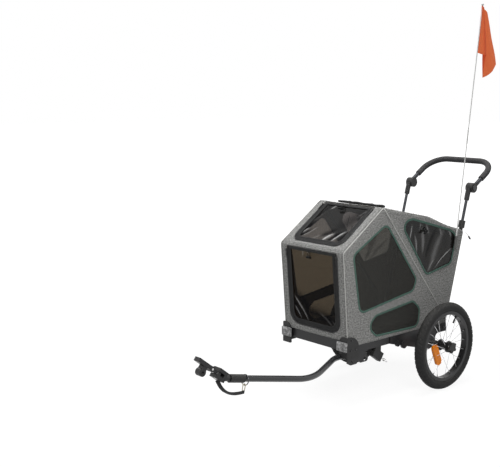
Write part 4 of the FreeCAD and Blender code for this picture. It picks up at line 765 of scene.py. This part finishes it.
slant = even(np.array([(0.346, 0.8435), (0.149, 0.601), (-0.044, 0.366), (-0.110, 0.2858)]) + (axle.x, 0), 0.02)
rear_part = np.vstack([slant, [cabin["rear_top"], cabin["roof_bend"]]])
piping_look = hard("piping", (0.52, 0.52, 0.50), 0.42, size=900, depth=0.25, dust=0.05)
piping_radius = 0.0013
binding_half, binding_rise, binding_shift, stitch_shift = 0.0046, 0.0013, 0.0030, 0.0058
piping_inset = edge_inset * 0.8
front_seam = even(side_line[:np.argmin(np.linalg.norm(side_line - cabin["ridge"], axis=1)) + 1], 0.01)
front_seam = front_seam + unit(side_middle - front_seam) * piping_inset
flat, net_faces = net(side_rim, list(windows.values()), 0.007)
hold = np.min([distance(flat, looped(loop)) for loop in (side_line, *windows.values())], axis=0)
calm = np.clip(hold / 0.04, 0.15, 1)
slack = ramp(distance(flat, np.vstack([looped(side_line), slant])), 0.10) * inside(flat, rear_part)
for side, word in both_sides:
    gathered = 0.0007 * ripple(flat, 1.0, 15 + side, 0.10) * np.exp(-distance(flat, slant) / 0.022)
    gathered += 0.0004 * ripple(flat, 1.0, 17 + side, 0.07) * np.exp(-hold / 0.010) * (hold > 0.003)
    spots, normals = on_side(flat, side, ripple(flat, 0.0016, 11 + side) * calm - 0.0008 - 0.0060 * slack + gathered)
    faces = net_faces[:, ::side]
    points, skins = thick(spots, normals, faces[:, ::-1], cloth_depth)
    piece = add_mesh("cover_" + word, points, skins, grey_cloth, np.vstack([flat, flat]), "chassis",
                     lining, len(faces))
    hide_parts(word + "_side_panel")
    for name, loop in windows.items():
        tape("%s_%s_binding" % (word, name), loop, laid_on(side), binding_half, binding_rise, green_tape,
             shift=outwards(loop) * binding_shift)
        stitches("%s_%s_stitches" % (word, name), offset(even(loop, 0.006, True), outwards(loop) * stitch_shift),
                 laid_on(side, 0.0009))
    edge_y = np.full(len(front_seam), side * (half_width - piping_inset))
    seam_line = np.column_stack([front_seam[:, 0], edge_y, front_seam[:, 1]])
    tube(word + "_front_piping", seam_line, piping_radius, piping_look)
    tube(word + "_slant_piping", on_side(slant, side, 0.0010)[0], piping_radius, piping_look)


# Side windows: the two front ones on each side are black net, the rear one is a clear film that has crinkled
# where it was rolled up. All are sewn in behind the binding.
net_look, tree = new_look("net")
yarns = settle(tree.nodes["Principled BSDF"],
               {"Base Color": (0.050, 0.050, 0.047), "Roughness": 0.8, "Specular IOR Level": 0.2})
net_hole = put(tree, "TexVoronoi", {"Scale": 560, "Randomness": 0.0})
tree.links.new(put(tree, "TexCoord").outputs["Object"], net_hole.inputs["Vector"])
open_share = sums(tree, "SUBTRACT", 0.57, sums(tree, "MULTIPLY", net_hole.outputs["Distance"], 0.25))
show(tree, blend(tree, open_share, yarns, put(tree, "BsdfTransparent", {"Color": (0.93, 0.91, 0.86)})))
dress(["mesh_windows"], net_look, 0)


def film_look(name, tint, haze, gloss):
    """A clear soft film: tinted, with a gloss that brightens at a slant, a painted highlight on folds (milky white and
    extra gloss) and painted shade in hollows (a near-black diffuse).
    """
    made, tree = new_look(name)
    tree.nodes.remove(tree.nodes["Principled BSDF"])
    painted_glint, painted_shade = (put(tree, "Attribute", attribute_name=label).outputs["Fac"] for label in ("painted_fold_glint", "painted_hollow_shade"))
    # Painted highlight: the film is mixed towards a milky white where it folds.
    cloudy = blend(tree, sums(tree, "ADD", sums(tree, "MULTIPLY", painted_glint, 0.30), haze),
                   put(tree, "BsdfTransparent", {"Color": tint}),
                   put(tree, "BsdfDiffuse", {"Color": (0.40, 0.40, 0.39)}))
    # Painted glint: where the film folds, its gloss is made several times stronger.
    strength = sums(tree, "ADD", sums(tree, "MULTIPLY", painted_glint, 5.0), gloss)
    glancing = put(tree, "Fresnel", {"IOR": 1.5}).outputs[0]
    skin = blend(tree, sums(tree, "MINIMUM", sums(tree, "MULTIPLY", glancing, strength), 0.8), cloudy,
                 put(tree, "BsdfGlossy", {"Roughness": 0.07}))
    # Painted shade: in the hollows the film is mixed towards a near-black diffuse.
    show(tree, blend(tree, painted_shade, skin, put(tree, "BsdfDiffuse", {"Color": (0.008, 0.008, 0.009)})))
    return made


door_film = film_look("door_film", (0.245, 0.196, 0.143), 0.003, 0.15)
roof_film = film_look("roof_film", (0.30, 0.265, 0.256), 0.026, 0.42)
rear_film = film_look("rear_film", (0.30, 0.295, 0.29), 0.022, 0.42)


def creases(flat, folds):
    """Folds of a film as a mask, which shapes its creases and places the painted glints and painted shade: each is a
    bowed spindle (across, up, turn, length, width, strength) that tapers.

    Across and up are shares of the sheet's box, turn is in degrees, half length and half width are in metres.
    """
    low, high = flat.min(0), flat.max(0)
    total = np.zeros(len(flat))
    for across, up, turned, long, wide, strength in folds:
        way = np.array((math.cos(math.radians(turned)), math.sin(math.radians(turned))))
        from_middle = flat - low - (high - low) * (across, up)
        a, b = from_middle @ way, from_middle @ (-way[1], way[0])
        b = b + 0.10 * a ** 2 / long
        taper = wide * np.clip(1.05 - (a / long) ** 2, 0.02, 1)
        total = np.maximum(total, strength * np.exp(-(b / taper) ** 2) * np.clip(1.5 - 1.5 * np.abs(a) / long, 0, 1))
    return total


def film(name, node, loop, place_on, base, look, body, seed, folds, hollows_painted_dark, size, flip=False):
    """A thin sheet inside an outline, creased, with its outer face a little under the cloth around it. Its fold and
    hollow masks are kept as attributes, which the film's material paints as glints and shade.
    """
    flat, faces = net(loop, [], 0.004)
    faces = faces[:, ::-1] if flip else faces
    edge = ramp(distance(flat, looped(loop)), 0.012)
    # The ridge mask lifts the folds and the trough mask sinks the hollows; the film's material paints a glint on each
    # fold and shade in each hollow.
    ridge, trough_painted_dark = creases(flat, folds), creases(flat, hollows_painted_dark)
    height = size * (ridge - trough_painted_dark) + ripple(flat, size * 0.5, seed)
    spots, _ = place_on(flat, base + np.minimum(height, 0.0012) * edge)
    piece = add_mesh(name, spots, faces, look, flat, body)
    # The fold mask is kept for the painted glints, and the hollow mask, where there is no fold, for the painted shade.
    for label, mask in (("painted_fold_glint", ridge), ("painted_hollow_shade", trough_painted_dark * (1 - ridge))):
        piece.data.attributes.new(label, "FLOAT", "POINT").data.foreach_set("value", mask * np.sqrt(edge))
    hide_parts(node)


# Folds and hollows of the rear film: each fold creases it and carries a painted glint, and each hollow dips it and is
# painted dark as shade.
rear_folds_painted_glints = [(0.25, 0.25, -33, 0.090, 0.0018, 1.0), (0.39, 0.42, -61, 0.130, 0.0150, 0.16),
              (0.64, 0.62, 86, 0.080, 0.0090, 0.22), (0.77, 0.56, 80, 0.055, 0.0050, 0.30),
              (0.13, 0.69, 60, 0.045, 0.0040, 0.35), (0.31, 0.74, 72, 0.050, 0.0026, 0.40),
              (0.87, 0.77, 104, 0.045, 0.0030, 0.50), (0.56, 0.80, 68, 0.040, 0.0030, 0.35),
              (0.48, 0.16, -50, 0.050, 0.0035, 0.35), (0.70, 0.84, 96, 0.030, 0.0022, 0.45)]
rear_hollows_painted_dark = [(0.30, 0.22, -33, 0.080, 0.0060, 0.6), (0.50, 0.55, -61, 0.100, 0.0110, 0.5)]
rear_outline = offset(even(windows["rear"], 0.006, True), outwards(windows["rear"]) * 0.005)
for side, word in both_sides:
    film(word + "_rear_film", "rear_windows", rear_outline, laid_on(side), -0.0030, rear_film, "chassis", 21 + side,
         rear_folds_painted_glints, rear_hollows_painted_dark, 0.0024, side > 0)

# Front door and roof hatch: clear films in wide black cloth borders, zipped into the cover down both sides
# and across the bottom, and sewn on along the top edge, where they roll up.
coil_look = hard("zip_coil", (0.016, 0.016, 0.017), 0.38, size=1600, depth=0.5, dust=0.05)
border, flap_gap = 0.022, 0.001
coil_apart, coil_radius = 0.0016, 0.0012
pull_run = np.linspace(0, 0.036, 12)[:, None]
pull_radii = np.array((34, 36, 34, 20, 16, 16, 22, 26, 26, 26, 24, 12)) * 1e-4


def run_on_strip(line, lift):
    """Points of a line in (Y, distance along) laid on the strip at a height."""
    return on_strip(line, np.full(len(line), lift))[0]


def flap(word, half, low, high, radius, look, seed, folds, hollows_painted_dark, size):
    """A zipped flap: border cloth, bound window edge, film, two zip coils and a slider at each top corner."""
    over = border - 0.010
    outer = flap_line(half - flap_gap, low + flap_gap, high - flap_gap, radius)
    light, edge_line, pane_line = (
        flap_line(half - flap_gap, low + flap_gap, high - flap_gap + over, radius, border - lap)
        for lap in (0, 0.002, 0.006))
    flat, faces = net(outer, [light], 0.009)
    spots, normals = on_strip(flat, ripple(flat, 0.0006, seed) - 0.0006)
    points, skins = thick(spots, normals, faces, cloth_depth)
    cloth = add_mesh(word + "_border", points, skins, black_cloth, np.vstack([flat, flat]), word)
    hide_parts(word)
    stitches(word + "_stitches", flap_line(half, low, high, radius, 0.006), on_strip, word)
    tape(word + "_edge", edge_line, on_strip, 0.0045, 0.0013, black_cloth, word)
    film(word + "_film", word + "_window", pane_line, on_strip, -0.0032, look, word, seed + 1, folds, hollows_painted_dark, size)
    line = flap_line(half, low, high, radius)
    line = even(np.roll(line, -np.argmax(line[:, 1] - 0.001 * line[:, 0]), axis=0), 0.008)
    line = line[line[:, 1] < high - 0.012]
    ahead = unit(np.gradient(line, axis=0))
    left = np.column_stack([-ahead[:, 1], ahead[:, 0]]) * coil_apart
    for name, shift, body in (("_zip_inner", left, word), ("_zip_outer", -left, "chassis")):
        tube(word + name, run_on_strip(line + shift, 0.0002), coil_radius, coil_look, body, sides=6)
    for end, way in ((0, line[1] - line[0]), (-1, line[-2] - line[-1])):
        tube("%s_pull_%d" % (word, end + 1), run_on_strip(line[end] + pull_run * unit(way), 0.0035), pull_radii,
             black_plastic, word, sides=8)


# Folds and hollows of the door and hatch films: each fold creases a film and carries a painted glint, and each hollow
# dips it and is painted dark as shade.
door_folds_painted_glints = [(0.20, 0.19, -50, 0.095, 0.0034, 0.55), (0.10, 0.13, -50, 0.045, 0.0030, 0.60),
              (0.30, 0.95, 75, 0.026, 0.0020, 0.35), (0.42, 0.94, 100, 0.028, 0.0022, 0.30),
              (0.75, 0.105, -33, 0.062, 0.0045, 0.30), (0.95, 0.05, -42, 0.040, 0.0030, 0.25)]
door_hollows_painted_dark = [(0.34, 0.20, -48, 0.130, 0.0240, 0.85), (0.06, 0.20, -50, 0.090, 0.0160, 0.80),
                (0.62, 0.125, -6, 0.170, 0.0300, 0.92), (0.98, 0.80, 88, 0.120, 0.0060, 0.50)]
hatch_folds_painted_glints = [(0.63, 0.13, 58, 0.042, 0.0066, 1.0), (0.83, 0.19, 62, 0.052, 0.0052, 1.0),
               (0.05, 0.22, 62, 0.028, 0.0056, 1.0), (0.12, 0.13, 50, 0.030, 0.0028, 0.5),
               (0.20, 0.24, 66, 0.040, 0.0024, 0.35), (0.22, 0.94, 62, 0.028, 0.0042, 0.9),
               (0.92, 0.86, 64, 0.050, 0.0020, 0.4), (0.97, 0.66, 70, 0.040, 0.0020, 0.25),
               (0.05, 0.55, 74, 0.070, 0.0020, 0.25), (0.40, 0.10, 40, 0.035, 0.0040, 0.18)]
hatch_hollows_painted_dark = [(0.57, 0.25, 44, 0.055, 0.0130, 0.90), (0.74, 0.16, 60, 0.060, 0.0120, 0.95),
                 (0.95, 0.22, 62, 0.060, 0.0120, 0.80), (0.03, 0.34, 66, 0.060, 0.0130, 0.85),
                 (0.08, 0.16, 52, 0.045, 0.0120, 0.85), (0.07, 0.74, 72, 0.090, 0.0090, 0.50),
                 (0.83, 0.65, 60, 0.110, 0.0400, 0.58)]
flap("front_door", door_half, door_low, door_high, door_round, door_film, 31, door_folds_painted_glints, door_hollows_painted_dark, 0.0020)
flap("roof_hatch", hatch_half, hatch_low, hatch_high, hatch_round, roof_film, 47, hatch_folds_painted_glints, hatch_hollows_painted_dark, 0.0026)

# The hatch's upper edge is sewn on under a black tape that lies between it and the ridge.
hinge_rows, hinge_columns, hinge_half = 60, 7, 0.146
hinge_y, hinge_s = np.meshgrid(np.linspace(-hinge_half, hinge_half, hinge_rows),
                               np.linspace(hatch_high + 0.0015, s_ridge - 0.004, hinge_columns), indexing="ij")
hinge_rise = 0.0010 * np.sqrt(1 - np.linspace(-1, 1, hinge_columns) ** 4) + 0.0002
hinge_flat = np.column_stack([hinge_y.ravel(), hinge_s.ravel()])
hinge_quads = np.roll(grid_faces(hinge_rows, hinge_columns, False, False)[:, ::-1], 1, axis=1)
add_mesh("hatch_hinge_tape", on_strip(hinge_flat, np.tile(hinge_rise, hinge_rows))[0], hinge_quads, black_cloth,
         hinge_flat, "chassis")

toggle_black = hard("toggle_black", (0.004, 0.004, 0.004), 0.6, size=1400, depth=0.3, dust=0.0, shine=0.1)


def toggle(name, place, down, body):
    """A cord loop sewn in at a seam with a small barrel through it, for holding a rolled flap.

    The loop is an ellipse that hangs down from its place and arches outwards; place is a point with its normal.
    """
    (top,), (out,) = place
    down = np.asarray(down, float)
    side = np.cross(down, out)
    share = np.linspace(0, 1, 25)[:, None]
    angle = share * 2 * math.pi
    loop_long, loop_half = 0.022, 0.006
    loop = (top + down * loop_long * (1 - np.cos(angle)) / 2 + side * loop_half * np.sin(angle)
            + out * (0.0022 + 0.004 * np.sin(share * math.pi)))
    tube(name + "_loop", loop, 0.0017, toggle_black, body, sides=8)
    barrel = top + down * 0.024 + out * 0.008 + side * np.array((-130, -125, -90, 90, 125, 130))[:, None] * 1e-4
    barrel_radii = np.array((15, 42, 52, 52, 42, 15)) * 1e-4
    tube(name + "_barrel", barrel, barrel_radii, toggle_black, body, sides=14)


front_x, front_z = strip_way[2]
roof_x, roof_z = strip_way[np.argmin(np.abs(strip_at - (s_front + s_ridge) / 2))]
toggle("front_door_toggle", on_strip(np.array([(-0.008, door_high - 0.010)])), (-front_x, 0, -front_z), "front_door")
toggle("roof_hatch_toggle", on_strip(np.array([(-0.018, hatch_high - 0.013)])), (-roof_x, 0, -roof_z), "roof_hatch")
for side, word in both_sides:
    toggle(word + "_window_toggle", on_side(np.array([(axle.x + 0.082, 0.741)]), side), (-0.35, 0, -0.94), "chassis")

# Sun cover: a black cloth flap for the roof hatch, rolled flat behind the ridge and held by two elastic bands.
# The roll is a flattened ring carried across the roof, with its thickness wavering along it.
roll_rows, roll_sides = 60, 24
roll_turn = np.arange(roll_sides) / roll_sides * 2 * math.pi
roll_mid = s_ridge + 0.026


def roll_ring(y, half, high):
    """Flattened rings round the roll at places across the roof.

    At a turn t a ring is half times cos t along from the roll's middle, and high times (1 + sin t) off the cloth.
    """
    ring_y, ring_s = np.broadcast_arrays(np.reshape(y, (-1, 1)), roll_mid + half * np.cos(roll_turn))
    lift = high * (1 + np.sin(roll_turn)) + 0.0004
    return on_strip(np.column_stack([ring_y.ravel(), ring_s.ravel()]), lift.ravel())[0]


roll_y = np.linspace(-0.088, 0.160, roll_rows)
swell = 1 + 0.06 * np.sin(roll_y * 90) + 0.05 * np.sin(roll_y * 37 + 1)
roll_quads = np.roll(grid_faces(roll_rows, roll_sides)[:, ::-1], 1, axis=1)
roll_ends = [face[::-1] for face in ends_of(roll_rows, roll_sides)]
roll_flat = np.column_stack([np.repeat(roll_y, roll_sides), np.tile(roll_turn * 0.012, roll_rows)])
add_mesh("sun_cover", roll_ring(roll_y, 0.017, 0.0058 * swell[:, None]), roll_quads.tolist() + roll_ends, black_cloth,
         roll_flat, "chassis")
for count, y in enumerate((-0.03, 0.10)):
    tube("sun_cover_band_%d" % count, roll_ring(y, 0.0182, 0.0060), 0.0009, black_cloth, "chassis",
         closed=True, sides=8)


# Floor mat: a foam pad in a grey cover that lies loose on the floor board. The cover is blown up a little by cloth
# simulation, so that its sides crown, and then sewn through in channels across.
mat_look = woven("mat_cloth", (0.085, 0.085, 0.083), (0.045, 0.045, 0.044), 1.0)
mat_low, mat_high = (np.array(corner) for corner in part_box("floor_mat"))
mat_middle, mat_half_high = (mat_low + mat_high) / 2, (mat_high - mat_low)[2] / 2
mat_mesh = bpy.data.meshes.new("floor_pad")
source = nodes["floor_mat"].data
unblown = (read_points(source) - mat_middle) * (0.985, 0.975, 0.80) + mat_middle
mat_mesh.from_pydata(unblown.tolist(), [], [tuple(p.vertices) for p in source.polygons])
mat = add("floor_pad", mat_mesh)
bpy.context.view_layer.objects.active = mat
remesh = mat.modifiers.new("even", "REMESH")
remesh.mode, remesh.voxel_size = "VOXEL", 0.006
plain = bpy.data.meshes.new_from_object(mat.evaluated_get(bpy.context.evaluated_depsgraph_get()))
mat.modifiers.clear()
mat.data = plain
start = read_points(plain)
swollen = start
cloth = mat.modifiers.new("swell", "CLOTH")
cloth.settings.use_pressure = True
cloth.settings.uniform_pressure_force = 4
cloth.settings.effector_weights.gravity = 0
for frame_number in range(1, 16):
    scene.frame_set(frame_number)
swollen = read_points(mat.evaluated_get(bpy.context.evaluated_depsgraph_get()).data)
mat.modifiers.clear()
scene.frame_set(1)
move = swollen - start
most_swell, channel_pitch, channel_deep, channel_wide = 0.006, 0.092, 0.006, 0.007
swollen = start + move * np.minimum(1, most_swell / np.maximum(np.linalg.norm(move, axis=1), 1e-9))[:, None]
top = ramp(swollen[:, 2] - mat_middle[2], mat_half_high)
channel = np.abs(((swollen[:, 0] - mat_low[0]) / channel_pitch + 0.5) % 1 - 0.5) * channel_pitch
swollen[:, 2] -= channel_deep * top * np.exp(-(channel / channel_wide) ** 2)
swollen = np.clip(swollen, mat_low + 0.0002, mat_high - 0.0002)
plain.vertices.foreach_set("co", swollen.ravel())
plain.materials.append(mat_look)
lay_flat(plain, swollen[:, :2])
plain.shade_smooth()
plain.update()
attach(mat, "chassis")
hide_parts("floor_mat")

# Push handle: dark anodised rods that slide in the posts, moulded knuckles with push buttons, and a bent tube
# with a long foam grip. A small lever clamps the rod in the left collar.
anodised = hard("anodised", (0.045, 0.047, 0.052), 0.3, metal=0.85, size=900, depth=0.04, dust=0.04)
foam = hard("foam", (0.040, 0.040, 0.042), 0.92, size=1900, depth=0.9, dust=0.12)
button_grey = hard("button_grey", (0.055, 0.056, 0.058), 0.45, size=1400, depth=0.2, dust=0.08)
white_plastic = hard("white_plastic", (0.72, 0.72, 0.70), 0.35, dust=0.05)
dress(["handle_rods", "handle_bar"], anodised, 0.0006)
dress(["handle_collars"], black_plastic, 0.0016)
dress(["lower_knuckles", "upper_knuckles"], black_plastic, 0.0022)
dress(["handle_grip"], foam, 0.0022)
dress(["left_tilt_button", "right_tilt_button"], button_grey, 0.0012)
lever = np.array([(-0.2385, 0.1855, 0.6870), (-0.2560, 0.1862, 0.6690), (-0.2650, 0.1866, 0.6595)]) + (axle.x, 0, 0)
tube("clamp_lever", lever, 0.0014, white_plastic, "chassis")
lever_tip = lever[-1] + np.linspace(-0.007, 0.017, 7)[:, None] * np.array((-0.69, 0, -0.724))
tube("clamp_lever_tip", lever_tip, np.array((20, 36, 41, 43, 42, 37, 18)) * 1e-4, black_plastic, "chassis",
     sides=14)

# Safety flag: a white glass-fibre pole in two lengths, pushed into a cloth sleeve on the left side panel.
# The orange pennant hangs from its top, folded over on itself, and a rounded cap closes the pole.
pole_white = hard("pole_white", (0.56, 0.56, 0.55), 0.35, size=500, depth=0.05, dust=0.03)
sleeve_grey = hard("sleeve_grey", (0.12, 0.122, 0.118), 0.9, size=900, depth=0.5, dust=0.1)
dress(["flag_pole"], pole_white, 0.0004)
dress(["flag_pocket"], sleeve_grey, 0.0008)
flag_look = woven("flag_cloth", (0.88, 0.165, 0.060), (0.78, 0.125, 0.042), 0.7, 0.75, 0.12)
tree = flag_look.node_tree
show(tree, blend(tree, 0.3, tree.nodes["Principled BSDF"], put(tree, "BsdfTranslucent", {"Color": (0.90, 0.22, 0.07)})))
flag_way = np.array((-0.128796, 0, 0.991671))
flag_back = np.array((-0.991671, 0, -0.128796))
flag_foot = np.array((axle.x - 0.146, 0.1961, 0.616))
pole_long, cap_seat = 1.116, 0.0048
flag_top = flag_foot + flag_way * (pole_long - cap_seat)
flag_rows, flag_columns, flag_wide, flag_long = 80, 61, 0.19, 0.315
across = np.linspace(0, 1, flag_columns)
fall = np.linspace(0, 1, flag_rows)[:, None]
# At the head and at the foot, how far back from the pole and how far below its top the cloth is at each fold.
folds = (0, 1 / 3, 2 / 3, 1)
head_out, head_down, foot_out, foot_down = (
    np.interp(across, folds, values)
    for values in ((0, 0.012, 0.010, 0.044), (0, 0.006, 0.008, 0.022),
                   (0, 0.062, 0.067, 0.158), (0.212, 0.214, 0.315, 0.240)))
foot_down = foot_down + 0.012 * np.sin(math.pi * np.clip(3 * across - 2, 0, 1))
pleat = np.interp(across, (0, 0.16, 0.29, 1 / 3, 0.38, 0.62, 2 / 3, 0.74, 0.88, 1),
                  (0, 0.0030, 0.0075, 0.0072, 0.0045, -0.0040, -0.0050, -0.0035, 0.0045, -0.0010))
sleeve = np.interp(across, (0, 0.017, 0.034, 0.051), (0.0010, -0.0036, -0.0030, 0.0))
round_pole = np.interp(across, (0, 0.017, 0.034, 0.051, 0.12), (-0.0036, -0.0020, 0.0024, 0.0036, 0))
reach_out = sleeve + head_out + (foot_out - head_out) * fall
drop_down = head_down + (foot_down - head_down) * fall
sway = round_pole + pleat * (0.35 + 0.65 * fall) + 0.0022 * np.sin(9 * fall + 7 * across) * across * fall
flag_cloth = (flag_top - drop_down[..., None] * flag_way + reach_out[..., None] * flag_back
              + sway[..., None] * np.array((0, 1, 0)))
flag_flat = np.stack(np.broadcast_arrays(across * flag_wide, fall * flag_long), -1)
pennant = add_mesh("pennant", flag_cloth.reshape(-1, 3), grid_faces(flag_rows, flag_columns, False, False), flag_look,
                   flag_flat.reshape(-1, 2), "flag")
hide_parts("flag")
cap_rise = np.linspace(0, 1, 9)
tube("pole_cap", flag_top + (0.0005 + 0.0115 * cap_rise)[:, None] * flag_way,
     0.0056 * np.sqrt(np.clip(1 - (2 * cap_rise - 1) ** 2, 0.04, 1)), pole_white, "flag", sides=16)

# Front corners: moulded black brackets screwed round the frame's front corners, each with a clear reflector on it.
# Pan-head screws hold them, and hex bolts hold the axle plates under the rails.
clear_lens = lens("clear_lens", (0.60, 0.60, 0.60), (0.12, 0.12, 0.12), 0.03, 150.0)
dress(["front_corners"], black_plastic, 0.0030)
dress(["front_reflectors"], clear_lens, 0.0014)
head_rise = np.array((0, 0.45, 0.8, 0.95, 0.95, 0.3)) * 0.7
head_radii = np.array((1, 0.98, 0.80, 0.48, 0.40, 0.38))


def screw(name, place, side, radius, sides=20):
    """A low domed screw head with a socket in it, standing out from one side."""
    out = np.array((0, side, 0.0))
    rise = head_rise * radius + np.arange(6) * 1e-6
    tube(name, np.array(place) + rise[:, None] * out, head_radii * radius, black_steel, "chassis",
         sides=sides)


for side, word in both_sides:
    for count, (x, z) in enumerate(((0.513, 0.262), (0.545, 0.262), (0.540, 0.305))):
        screw("%s_corner_screw_%d" % (word, count), (axle.x + x, side * 0.1960, z), side, 0.0045)
    for count, (x, z) in enumerate(((-0.085, 0.257), (-0.045, 0.257), (0.042, 0.259))):
        screw("%s_plate_bolt_%d" % (word, count), (axle.x + x, side * 0.1923, z), side, 0.0065, 6)

# Drawbar: a powder-coated steel tube that plugs into the socket under the left rail and is locked by a sprung pin.
# Its front end carries a moulded sleeve.
drawbar_coat = hard("drawbar_coat", (0.016, 0.017, 0.019), 0.26, size=700, depth=0.05, dust=0.04, coat=0.35)
dress(["drawbar"], drawbar_coat, 0.0006)
dress(["drawbar_sleeve"], black_plastic, 0.0016)
pin_low, pin_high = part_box("release_pin")
pin_end = np.array((pin_low.x + 0.004, (pin_low.y + pin_high.y) / 2, pin_low.z + 0.005))
pin_way = unit(np.array((pin_low.x - pin_high.x, 0, pin_low.z - pin_high.z)))
pull_turn = np.arange(40)[:, None] / 40 * 2 * math.pi
pull_ring = pin_end + 0.009 * ((1 + np.cos(pull_turn)) * pin_way + np.sin(pull_turn) * np.array((0, 1, 0)))
tube("pin_pull_ring", pull_ring, 0.0011, bright_wire, "release_pin", closed=True, sides=8)

# Hitch: a forged elbow and fork, a swivel that turns in it and an arm that nods, all black, on plated pins.
# A steel ring and a brass snap hook hold the webbing strap, which keeps the trailer if the hitch should fail.
hitch_black = hard("hitch_black", (0.012, 0.012, 0.013), 0.42, size=900, depth=0.2, dust=0.10, coat=0.1)
dress(["hitch_fork", "hitch_swivel", "hitch_arm"], hitch_black, 0.0018)
dress(["hitch_pins"], plated, 0.0006)
hook_brass, ring_steel, ring_foot = (0.40, 0.37, 0.30), (0.10, 0.10, 0.105), 0.2625
tether_look = hard("tether_metal", hook_brass, 0.3, metal=1.0, size=300, depth=0.03, dust=0.04)
tree = tether_look.node_tree
tether_place = put(tree, "SeparateXYZ")
tree.links.new(put(tree, "TexCoord").outputs["Object"], tether_place.inputs[0])
is_ring = sums(tree, "GREATER_THAN", tether_place.outputs["Z"], ring_foot)
tether_grain = next(node for node in tree.nodes if node.type == "GROUP")
tree.links.new(between(tree, is_ring, hook_brass, ring_steel), tether_grain.inputs["Colour"])
dress(["tether_hardware"], tether_look, 0)
webbing = woven("webbing", (0.020, 0.020, 0.021), (0.010, 0.010, 0.011), 1.0, 0.7, 0.1)
strap_y = 0.235
route = [(1.2948, 0.3037), (1.283, 0.279), (1.264, 0.257), (1.238, 0.241), (1.208, 0.2335), (1.183, 0.2312),
         (1.165, 0.2310)]
curve = bpy.data.curves.new("strap_line", "CURVE")
curve.dimensions, curve.resolution_u = "3D", 12
spline = curve.splines.new("NURBS")
spline.points.add(len(route) - 1)
spline.points.foreach_set("co", [value for x, z in route for value in (axle.x + x, strap_y, z, 1)])
spline.order_u, spline.use_endpoint_u = 3, True
line_object = bpy.data.objects.new("strap_line", curve)
line_mesh = bpy.data.meshes.new_from_object(line_object)
strap_line = read_points(line_mesh)
bpy.data.objects.remove(line_object)
bpy.data.meshes.remove(line_mesh)
# The webbing's flat section is carried along the line, turned about it by an angle that changes on the way.
strap_way = unit(np.gradient(strap_line, axis=0))
strap_up = np.column_stack([-strap_way[:, 2], np.zeros(len(strap_line)), strap_way[:, 0]])
half_section = np.array([(-75, 0), (-70, 9), (-40, 10), (40, 10), (70, 9), (75, 0)]) * 1e-4
section = np.vstack([half_section, half_section[-2:0:-1] * (1, -1)])
strap_turn = np.interp(np.linspace(0, 1, len(strap_line)), (0, 0.4, 0.7, 1), np.radians((57, 35, 72, 76)))[:, None]
strap_wide = np.cos(strap_turn) * np.array((0, 1, 0)) - np.sin(strap_turn) * strap_up
strap_thin = np.sin(strap_turn) * np.array((0, 1, 0)) + np.cos(strap_turn) * strap_up
strap_points = strap_line[:, None] + section[:, :1] * strap_wide[:, None] + section[:, 1:] * strap_thin[:, None]
rows, sides = len(strap_line), len(section)
strap_run = run_along(strap_line)
strap_flat = np.column_stack([np.repeat(strap_run, sides), np.tile(section[:, 0], rows)])
strap = add_mesh("strap", strap_points.reshape(-1, 3), grid_faces(rows, sides).tolist() + ends_of(rows, sides), webbing,
                 strap_flat, "chassis")
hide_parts("safety_strap")
